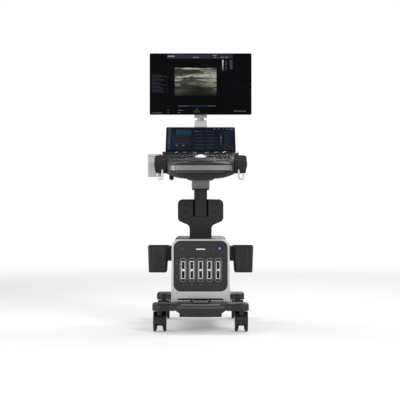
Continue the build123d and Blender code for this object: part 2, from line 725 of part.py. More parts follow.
HOOK_REACH = 34.0
with BuildPart() as column_rear_cover:
    with BuildSketch(front_plane(COVER_SPLIT + COVER_WALL)):
        add(cover_outline(0))
    extrude(amount=COVER_WALL)
    with BuildSketch(front_plane(COVER_REAR)):
        with Locations((0, CONSOLE_TOP)):
            Rectangle(2 * COVER_HALF, COVER_H, align=(Align.CENTER, Align.MIN))
    extrude(amount=COVER_REAR - COVER_SPLIT - COVER_WALL)
    fillet(column_rear_cover.faces().sort_by(Axis.Y)[-1].edges().filter_by(Axis.Z), 10)
    with BuildSketch(Plane.XY.offset(CONSOLE_TOP)):
        with Locations((0, COVER_SPLIT)):
            Rectangle(
                2 * (COVER_HALF - COVER_WALL),
                COVER_REAR - COVER_SPLIT - COVER_WALL,
                align=(Align.CENTER, Align.MIN),
            )
    extrude(amount=COVER_H, mode=Mode.SUBTRACT)
    for hook_z in (CONSOLE_TOP + 60, COVER_TOP - 50):
        with BuildSketch(front_plane(COVER_REAR)):
            with Locations((0, hook_z)):
                RectangleRounded(60, 12, 5)
        extrude(amount=-HOOK_REACH)
        with BuildSketch(front_plane(COVER_REAR + HOOK_REACH)):
            with Locations((0, hook_z)):
                RectangleRounded(84, 26, 8)
        extrude(amount=6)
save(column_rear_cover.part, "column_rear_cover")

# ---------------------------------------------------------------- control panel
PALM_SAG = 30.0  # the front edge of the palm rest sweeps back this much at the sides
HOUSING_REAR_HALF = 78.0
HOUSING_REAR = COLUMN_Y + NECK_R + 12
HOUSING_WALL = 5.0
BORE_TOP = TROUGH_Z - 16
EAR_X = 120.0
EAR_W = 16.0
EAR_R = 6.0
TOUCH_AXIS_Y = DECK_REAR_Y + 24.6
TOUCH_AXIS_Z = TROUGH_Z + 17.5
TOUCH_PIN_R = 3.0
BOWL_INNER = 76.0


def panel_outline():
    """Plan of the control panel: bowed front edge, wider shoulders behind, neck round the column."""
    with BuildSketch() as outline:
        with BuildLine():
            ThreePointArc(
                (-PANEL_HALF, PALM_FRONT + PALM_SAG),
                (0, PALM_FRONT),
                (PANEL_HALF, PALM_FRONT + PALM_SAG),
            )
            Polyline(
                (PANEL_HALF, PALM_FRONT + PALM_SAG),
                (PANEL_HALF, PANEL_REAR_HALF_Y - SHOULDER_RUN),
                (PANEL_REAR_HALF, PANEL_REAR_HALF_Y),
                (PANEL_REAR_HALF, DECK_REAR_Y + 50),
                (HOUSING_REAR_HALF, DECK_REAR_Y + 80),
                (HOUSING_REAR_HALF, HOUSING_REAR),
                (-HOUSING_REAR_HALF, HOUSING_REAR),
                (-HOUSING_REAR_HALF, DECK_REAR_Y + 80),
                (-PANEL_REAR_HALF, DECK_REAR_Y + 50),
                (-PANEL_REAR_HALF, PANEL_REAR_HALF_Y),
                (-PANEL_HALF, PANEL_REAR_HALF_Y - SHOULDER_RUN),
                (-PANEL_HALF, PALM_FRONT + PALM_SAG),
            )
        make_face()
        fillet(outline.vertices().group_by(Axis.Y)[-1], 30)
    return outline.sketch


def underside_profile():
    """Front view of the panel's boat-shaped underside, open upwards."""
    with BuildSketch() as profile:
        with BuildLine():
            for side in (-1, 1):
                Line((0, PANEL_Z), (side * 58, PANEL_Z))
                Line((side * 58, PANEL_Z), (side * BOWL_INNER, PANEL_Z + 9))
                ThreePointArc(
                    (side * BOWL_INNER, PANEL_Z + 9),
                    (side * (BOWL_INNER + PANEL_HALF + 15) / 2, PANEL_Z + 17),
                    (side * PANEL_HALF, PANEL_Z + 33),
                )
                Polyline(
                    (side * PANEL_HALF, PANEL_Z + 33),
                    (side * (PANEL_REAR_HALF + 5), PANEL_Z + 51),
                    (side * (PANEL_REAR_HALF + 5), PANEL_Z + 260),
                    (0, PANEL_Z + 260),
                )
        make_face()
    return profile.sketch


def above_deck(y_front, y_rear, drop):
    """Block that holds everything above the sloping deck surface lowered by drop."""
    with BuildPart() as block:
        with BuildSketch(side_plane(-PANEL_REAR_HALF - 20)):
            with BuildLine():
                Polyline(
                    (y_front, deck_z(y_front) - drop),
                    (y_rear, deck_z(y_rear) - drop),
                    (y_rear, PANEL_Z + 400),
                    (y_front, PANEL_Z + 400),
                    close=True,
                )
            make_face()
        extrude(amount=2 * PANEL_REAR_HALF + 40)
    return block.part


with BuildPart() as panel_housing:
    with BuildSketch(Plane.XY.offset(PANEL_Z)):
        add(panel_outline())
    extrude(amount=TROUGH_Z - PANEL_Z)
    with BuildSketch(front_plane(HOUSING_REAR + 20)):
        add(underside_profile())
    extrude(amount=HOUSING_REAR + 20 - FRONT_Y, mode=Mode.INTERSECT)
    add(above_deck(FRONT_Y, PALM_REAR, PALM_T), mode=Mode.SUBTRACT)
    add(above_deck(PALM_REAR, DECK_REAR_Y, DECK_T), mode=Mode.SUBTRACT)
    with BuildSketch(Plane.XY.offset(PANEL_Z + 45)):
        with Locations((0, (PALM_REAR + DECK_REAR_Y) / 2)):
            Rectangle(2 * (PANEL_HALF - HOUSING_WALL), DECK_REAR_Y - PALM_REAR - 16)
    extrude(amount=200, mode=Mode.SUBTRACT)
    with BuildSketch(Plane.XY.offset(PANEL_Z)):
        with Locations((0, COLUMN_Y)):
            Circle(NECK_R + PLAY)
    extrude(amount=BORE_TOP - PANEL_Z, mode=Mode.SUBTRACT)
    with BuildSketch(Plane.XY.offset(TROUGH_Z)):
        with Locations((0, ARM_Y)):
            Circle(ARM_PIN_R)
    extrude(amount=48)
    for ear_x in (-EAR_X, EAR_X):
        with BuildSketch(side_plane(ear_x - EAR_W / 2, TOUCH_AXIS_Y, TOUCH_AXIS_Z)):
            Circle(EAR_R)
            Rectangle(2 * EAR_R, TOUCH_AXIS_Z - TROUGH_Z + 1, align=(Align.CENTER, Align.MAX))
            Circle(TOUCH_PIN_R + RUN, mode=Mode.SUBTRACT)
        extrude(amount=EAR_W)
save(panel_housing.part, "panel_housing")

KNOB_R = 10.0
KNOB_H = 14.0
KNOB_Y = -200.0
KNOB_X = {"1": -126.0, "2": -84.0, "3": -31.5, "4": 31.5, "5": 84.0, "6": 126.0}
SHAFT_R = 3.0
BALL_R = 24.0
BALL_Y = FRONT_Y + 160
BALL_DROP = 12.0
BALL_MOUTH_R = (BALL_R**2 - BALL_DROP**2) ** 0.5 + 0.8
BALL_RING_R = 31.0
KEY_W, KEY_D, KEY_H = 15.0, 10.0, 6.0
SET_W, SET_D = 30.0, 14.0
SET_X = 52.0
KEY_ROWS_Y = (BALL_Y - 28, BALL_Y - 10, BALL_Y + 8)
KEY_COLS_X = (86.0, 106.0, 126.0, 146.0)
KEY_GAP = 0.4


def key_centres():
    """Plan positions of the small keys, both sides of the trackball."""
    return [(s * x, y) for s in (-1, 1) for y in KEY_ROWS_Y for x in KEY_COLS_X]


with BuildPart() as panel_deck:
    with BuildSketch(Plane.XY.offset(PANEL_Z)):
        add(panel_outline())
        with Locations((0, PALM_REAR)):
            Rectangle(600, 600, align=(Align.CENTER, Align.MAX), mode=Mode.SUBTRACT)
        with Locations((0, DECK_REAR_Y)):
            Rectangle(600, 600, align=(Align.CENTER, Align.MIN), mode=Mode.SUBTRACT)
    extrude(amount=300)
    add(above_deck(FRONT_Y, DECK_REAR_Y + 50, 0), mode=Mode.SUBTRACT)
    add(above_deck(FRONT_Y, DECK_REAR_Y + 50, DECK_T), mode=Mode.INTERSECT)
    with BuildSketch(deck_plane(0, BALL_Y)):
        Circle(BALL_R + 2)
    extrude(amount=DECK_T * 2, both=True, mode=Mode.SUBTRACT)
    for knob_x in KNOB_X.values():
        with BuildSketch(deck_plane(knob_x, KNOB_Y)):
            Circle(SHAFT_R + RUN)
        extrude(amount=DECK_T * 2, both=True, mode=Mode.SUBTRACT)
    for key_x, key_y in key_centres():
        with BuildSketch(deck_plane(key_x, key_y)):
            Rectangle(KEY_W + 2 * KEY_GAP, KEY_D + 2 * KEY_GAP)
        extrude(amount=DECK_T * 2, both=True, mode=Mode.SUBTRACT)
    for set_x in (-SET_X, SET_X):
        with BuildSketch(deck_plane(set_x, BALL_Y)):
            Rectangle(SET_W + 2 * KEY_GAP, SET_D + 2 * KEY_GAP)
        extrude(amount=DECK_T * 2, both=True, mode=Mode.SUBTRACT)
save(panel_deck.part, "panel_deck")

with BuildPart() as palm_rest:
    with BuildSketch(Plane.XY.offset(PANEL_Z)):
        add(panel_outline())
        with Locations((0, PALM_REAR)):
            Rectangle(600, 600, align=(Align.CENTER, Align.MIN), mode=Mode.SUBTRACT)
    extrude(amount=300)
    add(above_deck(FRONT_Y - 50, PALM_REAR + 50, 0), mode=Mode.SUBTRACT)
    add(above_deck(FRONT_Y - 50, PALM_REAR + 50, PALM_T), mode=Mode.INTERSECT)
    fillet(palm_rest.edges().filter_by(GeomType.LINE, reverse=True).sort_by(Axis.Z)[-1], 9)
save(palm_rest.part, "palm_rest")

for knob_name, knob_x in KNOB_X.items():
    with BuildPart() as knob:
        with BuildSketch(deck_plane(knob_x, KNOB_Y, 0.6)):
            Circle(KNOB_R)
        extrude(amount=KNOB_H - 0.6, taper=3)
        fillet(knob.faces().sort_by(Axis.Z)[-1].edges(), 1.5)
        with BuildSketch(deck_plane(knob_x, KNOB_Y, 0.6)):
            Circle(SHAFT_R)
        extrude(amount=-DECK_T - 8)
    save(knob.part, f"knob_{knob_name}")

with BuildPart() as trackball_ring:
    with BuildSketch(deck_plane(0, BALL_Y)):
        Circle(BALL_RING_R)
    extrude(amount=3, taper=30)
    with BuildSketch(deck_plane(0, BALL_Y)):
        Circle(BALL_MOUTH_R)
    extrude(amount=3, both=True, mode=Mode.SUBTRACT)
save(trackball_ring.part, "trackball_ring")

with BuildPart() as trackball:
    ball_centre = deck_plane(0, BALL_Y, -BALL_DROP).origin
    with Locations(ball_centre):
        Sphere(BALL_R)
save(trackball.part, "trackball")


def key_cap(x, y, width, depth):
    """One key: a slightly tapered cap that reaches down through the deck."""
    with BuildPart() as cap:
        with BuildSketch(deck_plane(x, y, KEY_H - 3)):
            RectangleRounded(width, depth, 2)
        extrude(amount=-DECK_T - KEY_H + 3)
        with BuildSketch(deck_plane(x, y, KEY_H - 3)):
            RectangleRounded(width, depth, 2)
        extrude(amount=3, taper=12)
    return cap.part


for side, label in ((-1, "set_key_left"), (1, "set_key_right")):
    with BuildPart() as set_key:
        add(key_cap(side * SET_X, BALL_Y, SET_W, SET_D))
    save(set_key.part, label)

bank_rows = KEY_ROWS_Y[-1] - KEY_ROWS_Y[0] + KEY_D
bank_cols = KEY_COLS_X[-1] - KEY_COLS_X[0] + KEY_W
with BuildPart() as key_bank:
    for key_x, key_y in key_centres():
        add(key_cap(key_x, key_y, KEY_W, KEY_D))
    with BuildSketch(deck_plane(0, KEY_ROWS_Y[0] - KEY_D / 2, -DECK_T)):
        with Locations((0, 0)):
            Rectangle(2 * KEY_COLS_X[0], KEY_D / 2, align=(Align.CENTER, Align.MIN))
        with Locations((KEY_COLS_X[0] - KEY_W / 2, 0)):
            Rectangle(bank_cols, bank_rows, align=(Align.MIN, Align.MIN))
        with Locations((KEY_W / 2 - KEY_COLS_X[0], 0)):
            Rectangle(bank_cols, bank_rows, align=(Align.MAX, Align.MIN))
    extrude(amount=-2)
save(key_bank.part, "key_bank")

# ---------------------------------------------------------------- front handle
HANDLE_HALF = 163.0
HANDLE_D = 22.0
HANDLE_H = 25.0
HANDLE_SAG = 18.0
HANDLE_Z = deck_z(PALM_FRONT) - 49


def bowed_tongue(half, front, radius, corner):
    """Plan shape with a bowed front, reaching back into the panel."""
    with BuildSketch() as tongue:
        with Locations((0, front + radius)):
            Circle(radius)
        with Locations((0, PALM_FRONT + PALM_SAG + 20)):
            Rectangle(2 * half, 160, align=(Align.CENTER, Align.MAX), mode=Mode.INTERSECT)
        fillet(tongue.vertices().group_by(Axis.Y)[0], corner)
    return tongue.sketch


HANDLE_ARC_R = ((HANDLE_HALF - 34) ** 2 + HANDLE_SAG**2) / (2 * HANDLE_SAG)
with BuildPart() as front_handle:
    with BuildSketch(Plane.XY.offset(HANDLE_Z)):
        add(bowed_tongue(HANDLE_HALF, FRONT_Y, HANDLE_ARC_R, 36))
        add(
            bowed_tongue(
                HANDLE_HALF - HANDLE_D, FRONT_Y + HANDLE_D, HANDLE_ARC_R - HANDLE_D, 16
            ),
            mode=Mode.SUBTRACT,
        )
    extrude(amount=HANDLE_H)
    with BuildSketch(Plane.XY.offset(HANDLE_Z)):
        add(panel_outline())
    extrude(amount=HANDLE_H, mode=Mode.SUBTRACT)
save(front_handle.part, "front_handle")

# ---------------------------------------------------------------- probe holders, hooks, gel warmer
HOLDER_IN = PANEL_HALF
HOLDER_MID = (HOLDER_IN + HOLDER_OUT) / 2
CABLE_SLOT = 14.0
HOLDER_DRAFT = 6.0
CUP_Y = (HOLDER_FRONT + CUP_PITCH / 2, HOLDER_FRONT + 1.5 * CUP_PITCH)
PEG_X = -151.0
PEG_R = 12.0
PEG_Z = PANEL_Z + PEG_R - 1
PEG_Y = PALM_FRONT + PALM_SAG + 40


def cup(side, y):
    """One probe cup: a block with a through bore and a cable slot on its outer side."""
    with BuildPart() as block:
        with BuildSketch(Plane.XY.offset(HOLDER_Z0)):
            with Locations((side * HOLDER_MID, y)):
                Rectangle(HOLDER_OUT - HOLDER_IN, CUP_PITCH)
        extrude(amount=HOLDER_Z1 - HOLDER_Z0)
        outer = block.faces().sort_by(Axis.X)[-1 if side > 0 else 0]
        fillet(outer.edges().filter_by(Axis.Y).sort_by(Axis.Z)[-1], 16)
        with BuildSketch(front_plane(y + CUP_PITCH / 2)):
            with BuildLine():
                Polyline(
                    (side * (HOLDER_OUT + 1), HOLDER_Z0 + 36),
                    (side * HOLDER_OUT, HOLDER_Z0 + 32),
                    (side * (HOLDER_OUT - HOLDER_DRAFT), HOLDER_Z0),
                    (side * (HOLDER_OUT - HOLDER_DRAFT), HOLDER_Z0 - 1),
                    (side * (HOLDER_OUT + 1), HOLDER_Z0 - 1),
                    close=True,
                )
            make_face()
        extrude(amount=CUP_PITCH, mode=Mode.SUBTRACT)
        with BuildSketch(Plane.XY.offset(HOLDER_Z0)):
            with Locations((side * HOLDER_MID, y)):
                Circle(CUP_R)
            with Locations((side * (HOLDER_MID + CUP_R), y)):
                Rectangle(2 * CUP_R, CABLE_SLOT)
        extrude(amount=HOLDER_Z1 - HOLDER_Z0, mode=Mode.SUBTRACT)
    return block.part


for side, label in ((-1, "probe_holder_left"), (1, "probe_holder_right")):
    cups = [cup(side, y) for y in CUP_Y]
    if side < 0:
        with BuildPart() as peg:
            with BuildSketch(Plane.XY.offset(PEG_Z)):
                with Locations((PEG_X, PEG_Y)):
                    Circle(PEG_R)
            extrude(amount=60)
            with Locations((PEG_X, PEG_Y, PEG_Z)):
                Sphere(PEG_R)
            add(panel_housing.part, mode=Mode.SUBTRACT)
        cups.append(peg.solids().sort_by(Axis.Z)[0])
    save(Compound(children=cups), label)

TRIM_T = 2.5
with BuildPart() as holder_trim:
    with BuildSketch(Plane.XY.offset(PANEL_Z + 68)):
        for side in (-1, 1):
            with Locations((side * (HOLDER_OUT + TRIM_T / 2), HOLDER_FRONT + CUP_PITCH)):
                Rectangle(TRIM_T, 2 * CUP_PITCH)
        for side in (-1, 1):
            with Locations((side * HOLDER_OUT, CUP_Y[0]), (side * HOLDER_OUT, CUP_Y[1])):
                Rectangle(4 * TRIM_T, CABLE_SLOT, mode=Mode.SUBTRACT)
    extrude(amount=25)
save(holder_trim.part, "holder_trim")

HOOK_X = 209.0
HOOK_OUT_R = 17.0
HOOK_T = 9.0
HOOK_TOP = PANEL_Z + 53
HOOK_TIP = PANEL_Z + 36
HOOK_D = 20.0
HOOK_ARC_Z = PANEL_Z + HOOK_OUT_R - 1
with BuildPart() as cable_hooks:
    with BuildSketch(front_plane(HOLDER_FRONT)):
        with Locations((HOOK_X, HOOK_ARC_Z)):
            Circle(HOOK_OUT_R)
            Circle(HOOK_OUT_R - HOOK_T, mode=Mode.SUBTRACT)
            Rectangle(80, 80, align=(Align.CENTER, Align.MIN), mode=Mode.SUBTRACT)
        with Locations((HOOK_X - HOOK_OUT_R + HOOK_T / 2, HOOK_ARC_Z)):
            Rectangle(HOOK_T, HOOK_TOP - HOOK_ARC_Z, align=(Align.CENTER, Align.MIN))
        with Locations((HOOK_X + HOOK_OUT_R - HOOK_T / 2, HOOK_ARC_Z)):
            Rectangle(HOOK_T, HOOK_TIP - HOOK_ARC_Z, align=(Align.CENTER, Align.MIN))
    extrude(amount=HOOK_D)
    fillet(cable_hooks.faces().sort_by(Axis.Y)[0].edges(), 3)
    mirror(about=Plane.YZ)
save(cable_hooks.part, "cable_hooks")

GEL_W, GEL_D, GEL_H = 70.0, 80.0, 121.0
GEL_X = -247.0
GEL_Y = -104.0
GEL_Z = PANEL_Z + 19
GEL_WELL_R = 29.0
GEL_FLOOR = 13.0
with BuildPart() as gel_warmer:
    with BuildSketch(Plane.XY.offset(GEL_Z)):
        with Locations((GEL_X, GEL_Y)):
            RectangleRounded(GEL_W, GEL_D, 12)
    extrude(amount=GEL_H)
    fillet(gel_warmer.faces().sort_by(Axis.Z)[0].edges(), 5)
    with BuildSketch(Plane.XY.offset(GEL_Z + GEL_FLOOR)):
        with Locations((GEL_X, GEL_Y)):
            Circle(GEL_WELL_R)
    extrude(amount=GEL_H, mode=Mode.SUBTRACT)
    with BuildSketch(Plane.XY.offset(GEL_Z + 50)):
        with Locations(((GEL_X + GEL_W / 2 - PANEL_REAR_HALF) / 2, GEL_Y)):
            Rectangle(GEL_X * -1 - GEL_W / 2 - PANEL_REAR_HALF, 40)
    extrude(amount=40)
save(gel_warmer.part, "gel_warmer")

# ---------------------------------------------------------------- touch screen
TOUCH_W = 376.0
TOUCH_H = 208.0
TOUCH_T = 20.0
TOUCH_ANGLE = 41.0
TOUCH_BELOW = 12.0  # how far the screen reaches below its hinge axis
TOUCH_BEHIND = 7.0  # back of the housing behind the hinge axis
TOUCH_R = 8.0
GLASS_T = 2.0
EAR_CLEAR = 0.6
touch_slope = radians(TOUCH_ANGLE)
touch_plane = Plane(
    origin=(0, TOUCH_AXIS_Y, TOUCH_AXIS_Z),
    x_dir=(1, 0, 0),
    z_dir=(0, -sin(touch_slope), cos(touch_slope)),
)
touch_axis = Axis(touch_plane.origin, touch_plane.z_dir)
touch_middle = TOUCH_H / 2 - TOUCH_BELOW

with BuildPart() as touch_housing:
    with BuildSketch(touch_plane.offset(-TOUCH_BEHIND)):
        with Locations((0, touch_middle)):
            RectangleRounded(TOUCH_W, TOUCH_H, TOUCH_R)
    extrude(amount=TOUCH_T - GLASS_T)
    fillet(touch_housing.faces().sort_by(touch_axis)[0].edges(), 5)
    with BuildSketch(touch_plane.offset(-TOUCH_BEHIND)):
        with Locations((-EAR_X, 0), (EAR_X, 0)):
            Rectangle(EAR_W + 2 * EAR_CLEAR, 2 * TOUCH_BELOW)
    extrude(amount=TOUCH_BEHIND + EAR_R + EAR_CLEAR, mode=Mode.SUBTRACT)
    for pin_x in (-EAR_X, EAR_X):
        with BuildSketch(side_plane(pin_x - EAR_W / 2 - 2, TOUCH_AXIS_Y, TOUCH_AXIS_Z)):
            Circle(TOUCH_PIN_R)
        extrude(amount=EAR_W + 4)
save(touch_housing.part, "touch_housing")

with BuildPart() as touch_glass:
    with BuildSketch(touch_plane.offset(TOUCH_T - TOUCH_BEHIND - GLASS_T)):
        with Locations((0, touch_middle)):
            RectangleRounded(TOUCH_W, TOUCH_H, TOUCH_R)
    extrude(amount=GLASS_T)
save(touch_glass.part, "touch_glass")

# ---------------------------------------------------------------- monitor arm
ELBOW_Z = TROUGH_Z + 73
HEAD_Y = ELBOW_Y - 119
HEAD_Z = ELBOW_Z + 92
SLOT_HALF = LINK_HALF + 0.6
BARREL_R = 33.0
ARM_Z0 = TROUGH_Z + 3
ARM_Z1 = ELBOW_Z

with BuildPart() as arm_lower:
    with BuildSketch(Plane.XY.offset(ARM_Z0 + 36)):
        with Locations((0, (ARM_Y + ELBOW_Y) / 2)):
            Rectangle(2 * ARM_HALF, ELBOW_Y - ARM_Y)
        with Locations((0, ARM_Y)):
            Circle(ARM_HALF)
    extrude(amount=ARM_Z1 - ARM_Z0 - 36)
    fillet(arm_lower.faces().sort_by(Axis.Z)[-1].edges(), 6)
    with BuildSketch(Plane.XY.offset(ARM_Z0)):
        with Locations((0, ARM_Y)):
            Circle(BARREL_R)
    extrude(amount=40)
    with BuildSketch(side_plane(-ARM_HALF, ELBOW_Y, ELBOW_Z)):
        Circle(LINK_R + 2)
    extrude(amount=2 * ARM_HALF)
    with BuildSketch(Plane.XY.offset(ARM_Z0)):
        with Locations((0, ELBOW_Y - 58)):
            Rectangle(2 * SLOT_HALF, 100, align=(Align.CENTER, Align.MIN))
    extrude(amount=120, mode=Mode.SUBTRACT)
    with BuildSketch(side_plane(-ARM_HALF + 3, ELBOW_Y, ELBOW_Z)):
        Circle(PIVOT_R)
    extrude(amount=2 * ARM_HALF - 6)
    with BuildSketch(Plane.XY.offset(ARM_Z0)):
        with Locations((0, ARM_Y)):
            Circle(ARM_PIN_R + RUN)
    extrude(amount=46, mode=Mode.SUBTRACT)
save(arm_lower.part, "arm_lower")

link_length = hypot(HEAD_Y - ELBOW_Y, HEAD_Z - ELBOW_Z)
link_angle = degrees(atan2(HEAD_Z - ELBOW_Z, HEAD_Y - ELBOW_Y))
with BuildPart() as arm_upper:
    with BuildSketch(side_plane(-LINK_HALF)):
        with Locations(((ELBOW_Y + HEAD_Y) / 2, (ELBOW_Z + HEAD_Z) / 2)):
            SlotCenterToCenter(link_length, 2 * LINK_R, rotation=link_angle)
    extrude(amount=2 * LINK_HALF)
    fillet(arm_upper.faces().sort_by(Axis.X)[0].edges(), 4)
    fillet(arm_upper.faces().sort_by(Axis.X)[-1].edges(), 4)
    with BuildSketch(side_plane(-LINK_HALF)):
        with Locations((ELBOW_Y, ELBOW_Z), (HEAD_Y, HEAD_Z)):
            Circle(PIVOT_R + RUN)
    extrude(amount=2 * LINK_HALF, mode=Mode.SUBTRACT)
save(arm_upper.part, "arm_upper")

NECK_Y = HEAD_Y - 16
HEAD_FRONT = NECK_Y - 32
HEAD_BOTTOM = HEAD_Z - 22
HEAD_TOP = HEAD_Z + 33
SWIVEL_R = 12.0
with BuildPart() as arm_head:
    with BuildSketch(Plane.XY.offset(HEAD_BOTTOM)):
        with Locations((0, HEAD_FRONT)):
            Rectangle(2 * ARM_HALF, HEAD_Y + 18 - HEAD_FRONT, align=(Align.CENTER, Align.MIN))
    extrude(amount=HEAD_TOP - HEAD_BOTTOM)
    fillet(arm_head.edges().filter_by(Axis.Z), 8)
    fillet(arm_head.faces().sort_by(Axis.Z)[-1].edges(), 4)
    with BuildSketch(Plane.XY.offset(HEAD_BOTTOM - 1)):
        with Locations((0, HEAD_Y - LINK_R - 2)):
            Rectangle(2 * SLOT_HALF, 80, align=(Align.CENTER, Align.MIN))
    extrude(amount=HEAD_Z + LINK_R + 3 - HEAD_BOTTOM, mode=Mode.SUBTRACT)
    with BuildSketch(side_plane(-ARM_HALF + 3, HEAD_Y, HEAD_Z)):
        Circle(PIVOT_R)
    extrude(amount=2 * ARM_HALF - 6)
    with BuildSketch(Plane.XY.offset(HEAD_TOP)):
        with Locations((0, NECK_Y)):
            Circle(SWIVEL_R + RUN)
    extrude(amount=-10, mode=Mode.SUBTRACT)
save(arm_head.part, "arm_head")

# ---------------------------------------------------------------- monitor
NECK_TOP = HEAD_TOP + 15
MONITOR_Z = NECK_TOP + 11  # lower edge of the monitor
TILT_Y = MONITOR_FRONT + 60
TILT_Z = MONITOR_Z + 99
TILT_R = 5.0
EDGE_T = 20.0
BULGE_REAR = TILT_Y - 14
LUG_IN, LUG_OUT = 23.0, 35.0
MONITOR_MID = MONITOR_Z + MONITOR_H / 2

with BuildPart() as monitor_bracket:
    with BuildSketch(Plane.XY.offset(HEAD_TOP + 1)):
        with Locations((0, NECK_Y)):
            Circle(19)
    extrude(amount=NECK_TOP - HEAD_TOP - 1)
    with BuildSketch(Plane.XY.offset(HEAD_TOP + 1)):
        with Locations((0, NECK_Y)):
            Circle(SWIVEL_R)
    extrude(amount=-10)
    with BuildSketch(Plane.XY.offset(NECK_TOP)):
        with Locations((0, TILT_Y + 2)):
            Rectangle(2 * ARM_HALF, NECK_Y + 21 - TILT_Y - 2, align=(Align.CENTER, Align.MIN))
    extrude(amount=14)
    with BuildSketch(Plane.XY.offset(NECK_TOP)):
        with Locations((0, TILT_Y + 2)):
            Rectangle(2 * LUG_IN - 2, 12, align=(Align.CENTER, Align.MIN))
    extrude(amount=TILT_Z - NECK_TOP)
    with BuildSketch(side_plane(-LUG_IN + 1, TILT_Y, TILT_Z)):
        Circle(12)
    extrude(amount=2 * LUG_IN - 2)
    with BuildSketch(side_plane(-LUG_OUT, TILT_Y, TILT_Z)):
        Circle(TILT_R)
    extrude(amount=2 * LUG_OUT)
save(monitor_bracket.part, "monitor_bracket")

with BuildPart() as monitor_shell:
    with BuildSketch(front_plane(MONITOR_FRONT + EDGE_T)):
        with Locations((0, MONITOR_MID)):
            RectangleRounded(MONITOR_W, MONITOR_H, 6)
    extrude(amount=EDGE_T - 3)
    fillet(monitor_shell.faces().sort_by(Axis.Y)[-1].edges(), 5)
    with BuildSketch(front_plane(MONITOR_FRONT + EDGE_T)):
        with Locations((0, MONITOR_Z + 150)):
            RectangleRounded(300, 200, 20)
    extrude(amount=-(BULGE_REAR - MONITOR_FRONT - EDGE_T), taper=20)
    for lug_x in (-LUG_OUT, LUG_IN):
        with BuildSketch(side_plane(lug_x, TILT_Y, TILT_Z)):
            Circle(12)
            Rectangle(TILT_Y - BULGE_REAR + 2, 24, align=(Align.MAX, Align.CENTER))
            Circle(TILT_R + RUN, mode=Mode.SUBTRACT)
        extrude(amount=LUG_OUT - LUG_IN)
save(monitor_shell.part, "monitor_shell")

with BuildPart() as monitor_screen:
    with BuildSketch(front_plane(MONITOR_FRONT + 3)):
        with Locations((0, MONITOR_MID)):
            RectangleRounded(MONITOR_W, MONITOR_H, 6)
    extrude(amount=3)
    fillet(monitor_screen.faces().sort_by(Axis.Y)[0].edges(), 1)
save(monitor_screen.part, "monitor_screen")
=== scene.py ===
"""Looks of the cart-based ultrasound scanner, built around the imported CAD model.

Metres, +Z up, the user stands on the -Y side. Outline sizes, offsets, strips and bevels are given in
millimetres. Details take their places from the CAD nodes' boxes and surfaces and the joints' positions.
"""

import json
import math
import random

import bmesh
import bpy
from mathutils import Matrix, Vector
from mathutils.bvhtree import BVHTree


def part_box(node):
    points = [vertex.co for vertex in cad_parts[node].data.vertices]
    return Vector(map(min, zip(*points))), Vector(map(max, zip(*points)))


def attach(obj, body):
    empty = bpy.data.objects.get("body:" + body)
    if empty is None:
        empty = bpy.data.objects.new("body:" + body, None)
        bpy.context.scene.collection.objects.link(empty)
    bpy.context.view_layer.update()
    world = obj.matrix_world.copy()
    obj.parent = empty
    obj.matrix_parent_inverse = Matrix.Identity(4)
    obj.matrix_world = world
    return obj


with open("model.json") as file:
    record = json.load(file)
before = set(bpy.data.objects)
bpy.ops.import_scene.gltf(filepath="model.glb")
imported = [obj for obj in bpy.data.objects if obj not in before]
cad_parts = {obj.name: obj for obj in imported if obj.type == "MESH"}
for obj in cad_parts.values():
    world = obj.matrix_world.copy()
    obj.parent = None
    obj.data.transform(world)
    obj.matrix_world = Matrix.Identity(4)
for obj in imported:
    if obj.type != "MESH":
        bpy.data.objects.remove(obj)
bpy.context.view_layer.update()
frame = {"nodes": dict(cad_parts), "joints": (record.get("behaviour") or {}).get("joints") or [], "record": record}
nodes = frame["nodes"]
joints = {j["name"]: j for j in frame["joints"]}
MM = 0.001
TOUCH_TILT = math.radians(41)
DECK_TILT = math.radians(14)
random.seed(7)

# ---------------------------------------------------------------- node helpers


